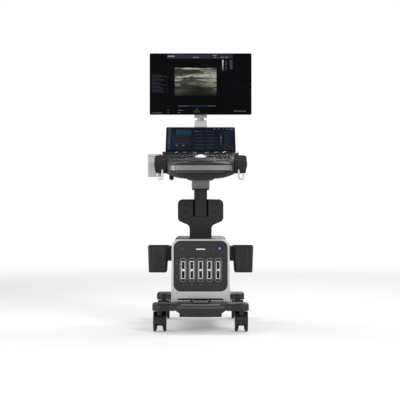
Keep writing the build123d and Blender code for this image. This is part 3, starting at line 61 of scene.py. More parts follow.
class Shade:
    """Small builder for one node material."""

    def __init__(self, name):
        self.mat = bpy.data.materials.new(name)
        self.mat.use_nodes = True
        self.tree = self.mat.node_tree
        self.tree.nodes.clear()
        self.coords = self.node("ShaderNodeTexCoord").outputs["Object"]

    def node(self, kind, inputs=None, **settings):
        made = self.tree.nodes.new(kind)
        for key, value in settings.items():
            setattr(made, key, value)
        for key, value in (inputs or {}).items():
            self.put(made.inputs[key], value)
        return made

    def put(self, socket, value):
        if isinstance(value, bpy.types.NodeSocket):
            self.tree.links.new(value, socket)
        else:
            socket.default_value = value

    def noise(self, scale, detail=2.0, rough=0.5, stretch=(1, 1, 1), offset=(0, 0, 0), distortion=0.0):
        where = self.node(
            "ShaderNodeMapping", {"Vector": self.coords, "Scale": stretch, "Location": offset}
        )
        made = self.node(
            "ShaderNodeTexNoise",
            {
                "Vector": where.outputs[0],
                "Scale": scale,
                "Detail": detail,
                "Roughness": rough,
                "Distortion": distortion,
            },
        )
        return made.outputs["Fac"]

    def math(self, operation, a, b=0.0, clamp=False):
        made = self.node("ShaderNodeMath", {0: a, 1: b}, operation=operation, use_clamp=clamp)
        return made.outputs[0]

    def span(self, value, low, high, to_low, to_high, smooth=False):
        made = self.node(
            "ShaderNodeMapRange",
            {
                "Value": value,
                "From Min": low,
                "From Max": high,
                "To Min": to_low,
                "To Max": to_high,
            },
            interpolation_type="SMOOTHSTEP" if smooth else "LINEAR",
        )
        return made.outputs["Result"]

    def axis(self, index):
        return self.node("ShaderNodeSeparateXYZ", {0: self.coords}).outputs[index]

    def mix(self, factor, a, b, blend="MIX"):
        made = self.node("ShaderNodeMix", {"Factor": factor}, data_type="RGBA", blend_type=blend)
        self.put(made.inputs["A"], a)
        self.put(made.inputs["B"], b)
        return made.outputs["Result"]

    def ramp(self, value, stops):
        made = self.node("ShaderNodeValToRGB", {"Fac": value})
        ramp = made.color_ramp
        while len(ramp.elements) < len(stops):
            ramp.elements.new(0.5)
        for element, (place, colour) in zip(ramp.elements, stops):
            element.position = place
            element.color = (*colour, 1)
        return made.outputs["Color"]

    def bump(self, height, strength, distance, rounding=0.0):
        inputs = {"Height": height, "Strength": strength, "Distance": distance}
        if rounding:
            edge = self.node("ShaderNodeBevel", {"Radius": rounding}, samples=4)
            inputs["Normal"] = edge.outputs[0]
        return self.node("ShaderNodeBump", inputs).outputs[0]

    def close(self, **inputs):
        shader = self.node("ShaderNodeBsdfPrincipled")
        for key, value in inputs.items():
            self.put(shader.inputs[key.replace("_", " ")], value)
        self.node("ShaderNodeOutputMaterial", {"Surface": shader.outputs[0]})
        return self.mat


def rgb(colour, gain=1.0):
    return tuple(min(1.0, c * gain) for c in colour)


def moulded(name, colour, rough, grain=1400.0, relief=0.12, spread=0.10, coat=0.0, rounding=0.8 * MM):
    """Moulded plastic: fine spark-eroded grain, slightly uneven tone and gloss, faint handling marks."""
    s = Shade(name)
    cloud = s.noise(7.0, 3.0)
    tone = s.mix(
        s.span(cloud, 0.3, 0.7, 0, 1),
        (*rgb(colour, 1 - spread), 1),
        (*rgb(colour, 1 + spread), 1),
    )
    smear = s.noise(22.0, 4.0, 0.65, offset=(3, 1, 2))
    gloss = s.span(smear, 0.35, 0.7, rough - 0.05, rough + 0.07)
    grain_height = s.noise(grain, 2.0, 0.6)
    return s.close(
        Base_Color=tone,
        Roughness=gloss,
        Normal=s.bump(grain_height, relief, 0.15 * MM, rounding),
        Coat_Weight=coat,
        Coat_Roughness=0.25,
        Specular_IOR_Level=0.45,
    )


def painted(name, colour, rough, metallic=0.0, peel=0.06, spread=0.05, coat=0.3, rounding=1.0 * MM):
    """Powder coat or lacquer on sheet metal: orange peel, a soft clear coat, small tone drift."""
    s = Shade(name)
    cloud = s.noise(4.0, 3.0)
    tone = s.mix(
        s.span(cloud, 0.3, 0.7, 0, 1),
        (*rgb(colour, 1 - spread), 1),
        (*rgb(colour, 1 + spread), 1),
    )
    fleck = s.noise(2600.0, 1.0)
    tone = s.mix(s.span(fleck, 0.62, 0.72, 0, 0.25), tone, (*rgb(colour, 1.35), 1))
    gloss = s.span(s.noise(15.0, 4.0, 0.6), 0.3, 0.7, rough - 0.05, rough + 0.05)
    height = s.noise(420.0, 2.0)
    return s.close(
        Base_Color=tone,
        Roughness=gloss,
        Metallic=metallic,
        Normal=s.bump(height, peel, 0.2 * MM, rounding),
        Coat_Weight=coat,
        Coat_Roughness=0.2,
    )


def brushed(name, colour, rough, stretch, spread=0.12, metallic=0.9):
    """Brushed and anodised aluminium: fine lines along one axis in tone, gloss and relief."""
    s = Shade(name)
    lines = s.noise(900.0, 3.0, 0.7, stretch)
    tone = s.mix(
        s.span(lines, 0.3, 0.7, 0, 1),
        (*rgb(colour, 1 - spread), 1),
        (*rgb(colour, 1 + spread), 1),
    )
    gloss = s.span(s.noise(500.0, 3.0, 0.7, stretch), 0.3, 0.7, rough - 0.07, rough + 0.07)
    return s.close(
        Base_Color=tone,
        Roughness=gloss,
        Metallic=metallic,
        Normal=s.bump(lines, 0.08, 0.1 * MM, 0.7 * MM),
    )


def rubber(name, colour, rough=0.75, grain=700.0, relief=0.3):
    """Rubber or soft-touch elastomer: matte, dusty in its hollows."""
    s = Shade(name)
    dust = s.span(s.noise(35.0, 5.0, 0.7), 0.52, 0.75, 0, 0.35)
    tone = s.mix(dust, (*colour, 1), (*rgb(colour, 2.2), 1))
    return s.close(
        Base_Color=tone,
        Roughness=s.span(s.noise(60.0, 3.0), 0.3, 0.7, rough - 0.06, rough + 0.08),
        Normal=s.bump(s.noise(grain, 2.0), relief, 0.2 * MM, 0.8 * MM),
        Specular_IOR_Level=0.3,
    )


def glow(name, colour, strength):
    """Lit marks of a display or a lamp, slightly uneven."""
    s = Shade(name)
    shade = s.mix(s.span(s.noise(260.0, 2.0), 0.35, 0.65, 0, 1), (*rgb(colour, 0.75), 1), (*colour, 1))
    return s.close(
        Base_Color=(0.01, 0.01, 0.012, 1),
        Specular_IOR_Level=0.1,
        Roughness=s.span(s.noise(90.0, 2.0), 0.3, 0.7, 0.3, 0.45),
        Emission_Color=shade,
        Emission_Strength=strength,
    )


def glass_black(name, tint=(0.0015, 0.0016, 0.002)):
    """Cover glass of a switched-on display: black, glossy, with faint smudges."""
    s = Shade(name)
    smudge = s.noise(14.0, 5.0, 0.7, distortion=0.6)
    tone = s.mix(s.span(smudge, 0.4, 0.75, 0, 1), (*tint, 1), (*rgb(tint, 1.8), 1))
    return s.close(
        Base_Color=tone,
        Roughness=s.span(smudge, 0.4, 0.8, 0.08, 0.22),
        Specular_IOR_Level=0.09,
        Normal=s.bump(s.noise(9.0, 1.0), 0.02, 0.5 * MM),
    )


# ---------------------------------------------------------------- materials of the CAD nodes
M = {
    "cover_black": moulded("cover_black", (0.0085, 0.0085, 0.009), 0.42),
    "frame_steel": painted("frame_steel", (0.03, 0.03, 0.032), 0.5),
    "hood_black": moulded("hood_black", (0.007, 0.007, 0.0075), 0.38),
    "tyre_grey": rubber("tyre_grey", (0.011, 0.011, 0.0115), 0.6),
    "pedal_grey": moulded("pedal_grey", (0.10, 0.101, 0.104), 0.45),
    "frame_silver": painted("frame_silver", (0.52, 0.525, 0.53), 0.36, 0.35),
    "side_silver": painted("side_silver", (0.46, 0.465, 0.47), 0.4, 0.3),
    "panel_dark": painted("panel_dark", (0.0105, 0.0108, 0.0118), 0.4, 0.1, coat=0.1),
    "bezel_grey": moulded("bezel_grey", (0.115, 0.117, 0.12), 0.36),
    "socket_silver": brushed("socket_silver", (0.62, 0.63, 0.64), 0.34, (1, 1, 0.05)),
    "led_white": glow("led_white", (0.30, 0.34, 0.33), 0.35),
    "button_navy": moulded("button_navy", (0.006, 0.009, 0.045), 0.25, coat=0.3),
    "rear_black": painted("rear_black", (0.016, 0.016, 0.017), 0.5),
    "electronics": moulded("electronics", (0.03, 0.09, 0.045), 0.55),
    "pocket_black": moulded("pocket_black", (0.0075, 0.0075, 0.008), 0.46, 900.0, 0.2),
    "bracket_grey": moulded("bracket_grey", (0.03, 0.03, 0.031), 0.45),
    "column_black": painted("column_black", (0.0065, 0.0065, 0.0068), 0.42, coat=0.08),
    "sleeve_grey": painted("sleeve_grey", (0.20, 0.202, 0.205), 0.42, 0.2, peel=0.12),
    "rim_dark": rubber("rim_dark", (0.01, 0.01, 0.0102)),
    "housing_dark": moulded("housing_dark", (0.0085, 0.0086, 0.0092), 0.34),
    "deck_black": moulded("deck_black", (0.0045, 0.0045, 0.0049), 0.36, 1800.0, 0.05, spread=0.04),
    "palm_grey": moulded("palm_grey", (0.021, 0.0212, 0.0218), 0.4, 900.0, 0.25),
    "handle_grey": brushed(
        "handle_grey", (0.22, 0.222, 0.226), 0.34, (0.03, 0.6, 0.6), 0.08, metallic=0.45
    ),
    "holder_black": rubber("holder_black", (0.0055, 0.0055, 0.0058), 0.55),
    "trim_grey": moulded("trim_grey", (0.12, 0.122, 0.126), 0.4),
    "hook_silver": brushed("hook_silver", (0.62, 0.625, 0.63), 0.32, (1, 1, 0.08), metallic=0.55),
    "warmer_grey": moulded("warmer_grey", (0.46, 0.465, 0.47), 0.5, spread=0.14),
    # painted light: the trackball ring glows so that it reads as bright white, standing in for its highlight
    "ring_silver": glow("ring_painted_glow", (0.8, 0.82, 0.85), 0.75),
    "ball_white": moulded("ball_white", (0.86, 0.86, 0.85), 0.18, coat=0.6, spread=0.02),
    "knob_silver": rubber("knob_silver", (0.008, 0.008, 0.0083), 0.5),
    "key_grey": moulded("key_grey", (0.012, 0.012, 0.0128), 0.36),
    "screen_frame": moulded("screen_frame", (0.006, 0.006, 0.0065), 0.42),
    "touch_display": glass_black("touch_display", (0.002, 0.003, 0.005)),
    "arm_silver": painted("arm_silver", (0.55, 0.553, 0.557), 0.42, 0.2, peel=0.12),
    "monitor_display": glass_black("monitor_display"),
}
for part in frame["record"]["subparts"]:
    obj = nodes[part["node"]]
    obj.data.materials.clear()
    obj.data.materials.append(M[part["material_slot"]])
    obj.data.shade_smooth()
    obj.data.set_sharp_from_angle(angle=math.radians(32))

# ---------------------------------------------------------------- mesh helpers


class Flat:
    """A drawing plane in the row frame: u to the right, v up the plane, n out of it."""

    def __init__(self, origin, u, v):
        self.origin, self.u, self.v = Vector(origin), Vector(u).normalized(), Vector(v).normalized()
        self.n = self.u.cross(self.v)

    def at(self, u, v, n=0.0):
        return self.origin + self.u * u + self.v * v + self.n * n

    def moved(self, u, v, n=0.0):
        return Flat(self.at(u, v, n), self.u, self.v)


def box_outline(width, height, radius=0.0, steps=5):
    """Outline of a centred rectangle with round corners, in metres."""
    radius = min(radius, width / 2, height / 2)
    if radius <= 0:
        return [
            (-width / 2, -height / 2),
            (width / 2, -height / 2),
            (width / 2, height / 2),
            (-width / 2, height / 2),
        ]
    points = []
    for corner, (sx, sy) in enumerate(((1, 1), (-1, 1), (-1, -1), (1, -1))):
        for k in range(steps + 1):
            angle = math.pi / 2 * (corner + k / steps)
            points.append(
                (
                    sx * (width / 2 - radius) + radius * math.cos(angle),
                    sy * (height / 2 - radius) + radius * math.sin(angle),
                )
            )
    return points


def rect(width, height, radius=0.0, steps=5):
    """The same rectangle, from sizes in millimetres."""
    return box_outline(width * MM, height * MM, radius * MM, steps)


def disc_outline(radius, steps=40):
    """Outline of a circle, in metres."""
    turns = [2 * math.pi * k / steps for k in range(steps)]
    return [(radius * math.cos(turn), radius * math.sin(turn)) for turn in turns]


def disc(radius, steps=40):
    """The same circle, from a radius in millimetres."""
    return disc_outline(radius * MM, steps)


class Solid:
    """Collects closed shapes into one mesh piece that rides on a body."""

    def __init__(self):
        self.bm = bmesh.new()

    def block(self, flat, outline, n0, n1, u=0.0, v=0.0, top=1.0):
        """Solid between two offsets of a plane, in metres; top scales the outer end's outline."""
        low = [self.bm.verts.new(flat.at(u + a, v + b, n0)) for a, b in outline]
        high = [self.bm.verts.new(flat.at(u + a * top, v + b * top, n1)) for a, b in outline]
        count = len(outline)
        self.bm.faces.new(low[::-1])
        self.bm.faces.new(high)
        for k in range(count):
            self.bm.faces.new((low[k], low[(k + 1) % count], high[(k + 1) % count], high[k]))
        return self

    def prism(self, flat, outline, n0, n1, u=0.0, v=0.0, top=1.0):
        """The same solid, from offsets in millimetres."""
        return self.block(flat, outline, n0 * MM, n1 * MM, u, v, top)

    def ring(self, flat, outer, inner, n0, n1, u=0.0, v=0.0):
        """Frame between two outlines with as many points each; offsets in millimetres."""
        loops = []
        for outline, n in ((outer, n0), (outer, n1), (inner, n1), (inner, n0)):
            loops.append([self.bm.verts.new(flat.at(u + a, v + b, n * MM)) for a, b in outline])
        count = len(outer)
        for a, b in zip(loops, loops[1:] + loops[:1]):
            for k in range(count):
                self.bm.faces.new((a[k], a[(k + 1) % count], b[(k + 1) % count], b[k]))
        return self

    def bar(self, low, high):
        """Box between two corners in the row frame."""
        flat = Flat((0, 0, 0), (1, 0, 0), (0, 1, 0))
        middle = [(a + b) / 2 for a, b in zip(low, high)]
        size = [b - a for a, b in zip(low, high)]
        return self.block(flat, box_outline(size[0], size[1]), low[2], high[2], middle[0], middle[1])

    def path(self, points, radius, steps=10):
        """Round rod along a line of points."""
        rings = []
        for k, point in enumerate(points):
            ahead = Vector(points[min(k + 1, len(points) - 1)]) - Vector(points[max(k - 1, 0)])
            side = ahead.cross(Vector((0, 0, 1)))
            if side.length < 1e-6:
                side = ahead.cross(Vector((0, 1, 0)))
            side.normalize()
            up = side.cross(ahead).normalized()
            rings.append(
                [
                    self.bm.verts.new(
                        Vector(point) + side * radius * math.cos(t) + up * radius * math.sin(t)
                    )
                    for t in (2 * math.pi * j / steps for j in range(steps))
                ]
            )
        self.bm.faces.new(rings[0])
        self.bm.faces.new(rings[-1][::-1])
        for a, b in zip(rings, rings[1:]):
            for j in range(steps):
                self.bm.faces.new((a[j], b[j], b[(j + 1) % steps], a[(j + 1) % steps]))
        return self

    def done(self, name, body, material, slot, bevel=0.0, angle=35):
        """Turns the collected shapes into an object that rides on body; bevel in millimetres."""
        bmesh.ops.recalc_face_normals(self.bm, faces=self.bm.faces)
        mesh = bpy.data.meshes.new(name)
        self.bm.to_mesh(mesh)
        self.bm.free()
        made = bpy.data.objects.new(name, mesh)
        bpy.context.scene.collection.objects.link(made)
        mesh.materials.append(material)
        mesh.shade_smooth()
        mesh.set_sharp_from_angle(angle=math.radians(angle))
        if bevel:
            rounding = made.modifiers.new("rounding", "BEVEL")
            rounding.width = bevel * MM
            rounding.segments = 2
            rounding.limit_method = "ANGLE"
        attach(made, body)
        return made


def front(y):
    """Plane facing the user at depth y."""
    return Flat((0, y, 0), (1, 0, 0), (0, 0, 1))


def size(node):
    low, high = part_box(node)
    return low, high, high - low


# ---------------------------------------------------------------- monitor picture
screen_low, screen_high, screen_size = size("monitor_screen")
picture = Flat((0, screen_low.y, screen_low.z), (1, 0, 0), (0, 0, 1))
INK = 0.25  # lit marks stand this many millimetres proud of the glass


def scan_picture():
    """Layered tissue under a linear probe: bright skin line, wavy bands, speckle, a shadow low down."""
    s = Shade("scan_picture")
    depth = s.span(s.axis("Z"), screen_low.z + 0.105, screen_low.z + 0.256, 1, 0)
    across = s.math("ABSOLUTE", s.span(s.axis("X"), -0.141, 0.087, -1.15, 0.85))
    bands = s.span(s.noise(1.0, 3.0, 0.55, (7, 1, 42), (4, 0, 9), 1.1), 0.38, 0.62, 0, 1, True)
    fibres = s.span(s.noise(1.0, 3.0, 0.6, (34, 1, 210), (2, 0, 5), 1.6), 0.36, 0.66, 0.1, 1)
    speckle = s.span(s.noise(1.0, 2.0, 0.7, (300, 1, 560)), 0.3, 0.7, 0.6, 1.3)
    echo = s.math("ADD", s.math("MULTIPLY", bands, 0.55), s.math("MULTIPLY", fibres, 0.5))
    echo = s.math("MULTIPLY", echo, speckle)
    fade = s.ramp(
        depth,
        [
            (0.0, (1.0,) * 3),
            (0.03, (0.9,) * 3),
            (0.07, (0.5,) * 3),
            (0.3, (0.85,) * 3),
            (0.62, (0.6,) * 3),
            (1.0, (0.16,) * 3),
        ],
    )
    shadow = s.span(s.math("SUBTRACT", depth, s.math("MULTIPLY", across, 0.42)), 0.42, 0.82, 1, 0.1, True)
    echo = s.math("MULTIPLY", s.math("MULTIPLY", echo, fade), shadow, True)
    tint = s.ramp(
        echo,
        [
            (0.0, (0.002, 0.002, 0.002)),
            (0.25, (0.045, 0.044, 0.034)),
            (0.5, (0.22, 0.215, 0.165)),
            (0.75, (0.55, 0.54, 0.44)),
            (1.0, (0.95, 0.93, 0.82)),
        ],
    )
    return s.close(
        Base_Color=(0.002, 0.002, 0.002, 1),
        Specular_IOR_Level=0.1,
        Roughness=s.span(speckle, 0.3, 0.7, 0.3, 0.4),
        Emission_Color=tint,
        Emission_Strength=0.95,
    )


def gradient(name, low, high, dark, light, axis="Z", strength=1.0):
    """Lit area whose tone runs along one axis."""
    s = Shade(name)
    tone = s.mix(s.span(s.axis(axis), low, high, 0, 1), (*dark, 1), (*light, 1))
    grain = s.mix(s.span(s.noise(300.0, 2.0), 0.35, 0.65, 0, 0.25), tone, (*dark, 1))
    return s.close(
        Base_Color=(0.002, 0.002, 0.003, 1),
        Specular_IOR_Level=0.1,
        Roughness=s.span(s.noise(90.0, 2.0), 0.3, 0.7, 0.3, 0.42),
        Emission_Color=grain,
        Emission_Strength=strength,
    )


ink_white = glow("ink_white", (0.55, 0.57, 0.60), 0.3)
ink_dim = glow("ink_dim", (0.05, 0.065, 0.085), 0.45)
ink_blue = glow("ink_blue", (0.05, 0.09, 0.42), 0.5)
ink_olive = glow("ink_olive", (0.08, 0.10, 0.05), 0.7)
ink_teal = glow("ink_teal", (0.04, 0.16, 0.30), 0.7)


def area(name, body, flat, material, slot, u0, u1, v0, v1, radius=0.0, depth=INK):
    """One lit rectangle on a display."""
    outline = box_outline(u1 - u0, v1 - v0, radius)
    return Solid().prism(
        flat, outline, 0, depth, (u0 + u1) / 2, (v0 + v1) / 2
    ).done(name, body, material, slot)


def rows(solid, flat, u0, v_top, count, pitch, lengths, height):
    """Short bars in rows, which read as small print without being letters."""
    for k in range(count):
        length = lengths[k % len(lengths)] * random.uniform(0.75, 1.0)
        u = u0
        while length > 0:
            word = min(length, random.uniform(3, 9) * MM)
            solid.prism(flat, box_outline(word, height), 0, INK, u + word / 2, v_top - k * pitch)
            u += word + 1.6 * MM
            length -= word + 1.6 * MM


area(
    "monitor_top_bar",
    "monitor",
    picture,
    gradient("top_bar", -0.2, 0.2, (0.022, 0.026, 0.036), (0.012, 0.014, 0.018), "X"),
    "monitor_display",
    -0.184,
    0.177,
    0.307,
    0.330,
)
area("monitor_scan", "monitor", picture, scan_picture(), "monitor_display", -0.141, 0.087, 0.105, 0.256)
area(
    "monitor_grey_scale",
    "monitor",
    picture,
    gradient("grey_scale", screen_low.z + 0.238, screen_low.z + 0.299, (0.01, 0.01, 0.01), (0.6, 0.6, 0.6)),
    "monitor_display",
    0.118,
    0.1255,
    0.238,
    0.299,
)
marks = Solid()
rows(marks, picture, 0.160, 0.296, 9, 5.6 * MM, (20 * MM, 14 * MM, 18 * MM), 2.0 * MM)
rows(marks, picture, 0.181, 0.0195, 1, 0, (88 * MM,), 3.4 * MM)
rows(marks, picture, -0.266, 0.0095, 1, 0, (70 * MM,), 2.4 * MM)
rows(marks, picture, -0.181, 0.024, 2, 13 * MM, (8 * MM,), 2.6 * MM)
rows(marks, picture, -0.124, 0.024, 2, 13 * MM, (30 * MM, 14 * MM), 2.6 * MM)
rows(marks, picture, 0.134, 0.292, 6, 9 * MM, (10 * MM, 14 * MM, 8 * MM), 1.8 * MM)
marks.prism(picture, rect(52, 2.2), 0, INK, -0.098, 0.0475)
marks.prism(picture, rect(44, 2.2), 0, INK, 0.060, 0.0475)
marks.done("monitor_marks", "monitor", ink_white, "monitor_display")
dim = Solid()
rows(dim, picture, -0.266, 0.216, 13, 7.6 * MM, (70 * MM, 84 * MM, 52 * MM), 3.0 * MM)
dim.prism(picture, rect(0.8, 96), 0, INK, -0.1835, 0.170)
dim.done("monitor_dim_marks", "monitor", ink_dim, "monitor_display")
labels = Solid()
labels.prism(picture, rect(38, 7, 2), INK, 2 * INK, -0.1605, 0.3195)
for u, v, w in (
    (-0.026, 0.3139, 36), (0.077, 0.3252, 20), (0.079, 0.3139, 14), (0.118, 0.3139, 18), (0.142, 0.3139, 20)
):
    labels.prism(picture, rect(w, 3.2, 1), INK, 2 * INK, u, v)
labels.done("monitor_labels", "monitor", glow("label_ink", (0.30, 0.29, 0.40), 0.9), "monitor_display")
piece = Solid().prism(picture, rect(108, 2.4), 0, INK, -0.018, 0.0475)
piece.done("monitor_focus_line", "monitor", ink_blue, "monitor_display")
figure = Solid()
for du, dv, w, h in ((0, 22, 9, 10), (0, 12, 26, 5), (-13, 4, 9, 9), (13, 4, 9, 9), (0, 4, 8, 8)):
    figure.ring(picture, rect(w, h, 3), rect(w - 3, h - 3, 2), 0, INK, -0.020 + du * MM, 0.010 + dv * MM)
figure.done("monitor_body_mark", "monitor", ink_olive, "monitor_display")

# ---------------------------------------------------------------- touch screen picture
touch_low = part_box("touch_glass")[0]
slope = Vector((0, math.cos(TOUCH_TILT), math.sin(TOUCH_TILT)))
touch = Flat((0, touch_low.y, touch_low.z + 2 * MM * math.cos(TOUCH_TILT)), (1, 0, 0), slope)


def touch_area(name, material, *place, radius=0.0):
    return area(
        name, "touch_screen", touch, material, "touch_display", *(p * MM for p in place), radius * MM
    )


def touch_ground():
    """Dark navy page with a warmer right edge and soft panels."""
    s = Shade("touch_ground")
    across = s.span(s.axis("X"), -0.18, 0.18, 0, 1)
    tone = s.ramp(
        across,
        [
            (0.0, (0.006, 0.013, 0.024)),
            (0.45, (0.0045, 0.0095, 0.017)),
            (0.78, (0.0055, 0.0085, 0.017)),
            (1.0, (0.015, 0.012, 0.024)),
        ],
    )
    cloud = s.span(s.noise(30.0, 2.0), 0.4, 0.7, 0, 0.5)
    tone = s.mix(cloud, tone, (0.007, 0.014, 0.025, 1))
    return s.close(
        Base_Color=(0.001, 0.0013, 0.002, 1),
        Specular_IOR_Level=0.1,
        Roughness=s.span(s.noise(14.0, 4.0), 0.3, 0.7, 0.16, 0.28),
        Emission_Color=tone,
        Emission_Strength=0.85,
    )


def colour_flow():
    """Preview tile: dull red and blue patches on dark tissue."""
    s = Shade("colour_flow")
    patch = s.noise(34.0, 3.0, 0.6, (1, 1, 1.6), distortion=0.7)
    tone = s.ramp(
        patch,
        [
            (0.0, (0.012, 0.035, 0.07)),
            (0.34, (0.010, 0.024, 0.05)),
            (0.45, (0.016, 0.012, 0.018)),
            (0.62, (0.046, 0.016, 0.020)),
            (1.0, (0.068, 0.024, 0.027)),
        ],
    )
    return s.close(
        Base_Color=(0.001, 0.001, 0.0015, 1),
        Specular_IOR_Level=0.1,
        Roughness=s.span(s.noise(14.0, 4.0), 0.3, 0.7, 0.18, 0.28),
        Emission_Color=tone,
        Emission_Strength=0.9,
    )


touch_area("touch_page", touch_ground(), -182, 182, 6, 202, radius=3)
touch = touch.moved(0, 0, INK * MM)
tile_blue = gradient("tile_blue", -0.14, -0.04, (0.010, 0.045, 0.085), (0.008, 0.022, 0.045), "X", 0.9)
tile_deep = gradient("tile_deep", -0.16, -0.04, (0.008, 0.030, 0.060), (0.006, 0.016, 0.035), "X", 0.9)
touch_area("touch_tile_top", tile_blue, -133, -48, 142, 184, radius=2)
touch_area("touch_preview", colour_flow(), -155, -52, 76, 139, radius=2)
touch_area("touch_tile_low", tile_deep, -152, -52, 56, 73, radius=2)
touch_area(
    "touch_side_bar",
    gradient("side_bar", 0.9, 1.1, (0.008, 0.012, 0.02), (0.014, 0.028, 0.05)),
    -180,
    -159,
    8,
    200,
    radius=2,
)
buttons = Solid()
for k in range(9):
    buttons.ring(touch, rect(9, 7, 2), rect(6, 4, 1), 0, 2 * INK, -169.5 * MM, (190 - 21 * k) * MM)
for k, u in enumerate((75, 100)):
    buttons.prism(touch, rect(7, 8, 3), 0, 2 * INK, u * MM, 192 * MM)
for u in (-128, -92):
    buttons.ring(touch, rect(11, 8, 3), rect(6, 4, 2), 0, 2 * INK, u * MM, 47 * MM)
rows(buttons, touch, -34 * MM, 170 * MM, 1, 0, (26 * MM,), 5 * MM)
buttons.prism(touch, rect(1.6, 92), 0, INK, 110 * MM, 98 * MM)
buttons.prism(touch, rect(7, 10, 2), 0, 2 * INK, 110 * MM, 116 * MM)
buttons.done("touch_marks", "touch_screen", glow("touch_ink", (0.20, 0.23, 0.26), 0.75), "touch_display")
sliders = Solid()
for k, v in enumerate((170, 142, 113, 84, 55, 28)):
    for u in (-8, 52):
        sliders.prism(touch, rect(46, 2.2), 0, INK, u * MM, v * MM)
        sliders.prism(touch, rect(5, 6, 1.5), 0, 2 * INK, (u - 14 + 7 * k % 30) * MM, v * MM)
rows(sliders, touch, 128 * MM, 160 * MM, 9, 15 * MM, (34 * MM, 22 * MM), 2.6 * MM)
sliders.done(
    "touch_sliders", "touch_screen", glow("touch_ink_dim", (0.05, 0.065, 0.08), 0.75), "touch_display"
)
for k, u in enumerate((124, 146)):
    piece = Solid().prism(touch, rect(9, 9, 4), 0, 2 * INK, u * MM, 191 * MM)
    piece.done(f"touch_icon_{k}", "touch_screen", ink_teal if k else ink_blue, "touch_display")
piece = Solid().prism(touch, rect(20, 11, 5), 0, 2 * INK, 169 * MM, 189 * MM)
piece.done("touch_home", "touch_screen", ink_teal, "touch_display")

# ---------------------------------------------------------------- surface finder
trees = {}


def touch_point(node, origin, direction):
    """First point of a CAD node along a ray."""
    if node not in trees:
        shape = bmesh.new()
        shape.from_mesh(nodes[node].data)
        trees[node] = BVHTree.FromBMesh(shape)
        shape.free()
    return trees[node].ray_cast(Vector(origin), Vector(direction))[0]


def front_of(node, x, z):
    """Depth of a node's front surface at x, z."""
    return touch_point(node, (x, -2, z), (0, 1, 0)).y


def skin(node, spots):
    """Front surface points of a node under a row of (x, z) places, without the misses."""
    hits = [touch_point(node, (x, -2, z), (0, 1, 0)) for x, z in spots]
    return [hit for hit in hits if hit]


def rear_of(node, x, z):
    return touch_point(node, (x, 2, z), (0, -1, 0)).y


def back(y):
    """Plane facing away from the user at depth y."""
    return Flat((0, y, 0), (-1, 0, 0), (0, 0, 1))


def ribbon(solid, points, out, width, thick):
    """Strip along points on a surface that faces out; width and thickness in millimetres."""
    points, out = [Vector(p) for p in points], Vector(out).normalized()
    width, thick = width * MM, thick * MM
    loops = []
    for k, point in enumerate(points):
        along = points[min(k + 1, len(points) - 1)] - points[max(k - 1, 0)]
        across = along.cross(out).normalized() * width / 2
        loops.append(
            [
                solid.bm.verts.new(point + across * s + out * n)
                for s, n in ((-1, -thick / 2), (1, -thick / 2), (1, thick), (-1, thick))
            ]
        )
    solid.bm.faces.new(loops[0])
    solid.bm.faces.new(loops[-1][::-1])
    for a, b in zip(loops, loops[1:]):
        for j in range(4):
            solid.bm.faces.new((a[j], b[j], b[(j + 1) % 4], a[(j + 1) % 4]))


chrome = brushed("chrome", (0.75, 0.76, 0.77), 0.22, (1, 1, 0.2), 0.06)
silver_line = brushed("silver_line", (0.42, 0.425, 0.43), 0.3, (1, 1, 1), 0.1)
dull_line = moulded("dull_line", (0.10, 0.101, 0.104), 0.4)
cavity = moulded("cavity", (0.006, 0.006, 0.0065), 0.7)
gold = brushed("gold_contact", (0.55, 0.42, 0.18), 0.35, (1, 1, 0.2), 0.1)
print_grey = moulded("print_grey", (0.32, 0.325, 0.33), 0.5)
print_white = moulded("print_white", (0.72, 0.725, 0.73), 0.4)
screw_steel = brushed("screw_steel", (0.35, 0.35, 0.355), 0.35, (1, 1, 1), 0.1)


def screws(name, body, slot, flats, radius):
    """Pan-head screws with a socket, one per plane."""
    heads = Solid()
    for flat in flats:
        heads.ring(flat, disc_outline(radius, 20), disc_outline(radius * 0.45, 20), 0, 0.9)
        heads.prism(flat, disc_outline(radius * 0.45, 20), 0, 0.3)
    heads.done(name, body, screw_steel, slot, 0.15)


# ---------------------------------------------------------------- console: ports, button, badge, intake
sockets_low, sockets_high, sockets_size = size("port_sockets")
bezels_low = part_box("port_bezels")[0]
SOCKET_W = 24 * MM
port_pitch = (sockets_size.x - SOCKET_W) / 4
port_x = [sockets_low.x + SOCKET_W / 2 + k * port_pitch for k in range(5)]
port_z = (sockets_low.z + sockets_high.z) / 2
WINDOW_SHIFT = 23.75 * MM
floor_y = front_of("port_sockets", port_x[0], port_z + WINDOW_SHIFT)
socket_face = front(sockets_low.y)
inner = front(floor_y)
blocks, pins, lugs, races, bars = Solid(), Solid(), Solid(), Solid(), Solid()
for x in port_x:
    for side in (-1, 1):
        z = port_z + side * WINDOW_SHIFT
        blocks.prism(inner, rect(14.4, 36.6, 1), 0, 1.2, x, z)
        blocks.prism(inner, rect(5, 30, 1), 1.2, 6, x, z)
        for k in range(9):
            for column in (-1, 1):
                pins.prism(inner, rect(1.4, 1.5), 1, 4.5, x + column * 4.4 * MM, z + (k - 4) * 3.2 * MM)
        bars.ring(socket_face, rect(19, 41, 2), rect(15.4, 37.6, 1), 0, 0.5, x, z)
    races.ring(front(bezels_low.y), rect(29, 119, 14.4), rect(24.1, 94.1, 0.4), -0.6, 0.3, x, port_z)
    lugs.ring(socket_face, disc(6.2), disc(3.6), 0, 1.6, x, port_z)
    lugs.prism(socket_face, disc(3.6), 0, 0.6, x, port_z)
    for side in (-1, 1):
        lugs.prism(socket_face, disc(1.5, 16), 0, 0.7, x, port_z + side * 44.6 * MM)
blocks.done("port_contact_blocks", "cart", cavity, "socket_silver")
pins.done("port_contacts", "cart", gold, "socket_silver")
bars.done("port_window_rims", "cart", chrome, "socket_silver", 0.2)
races.done("port_races", "cart", cavity, "bezel_grey")
lugs.done("port_lock_lugs", "cart", chrome, "socket_silver", 0.3)

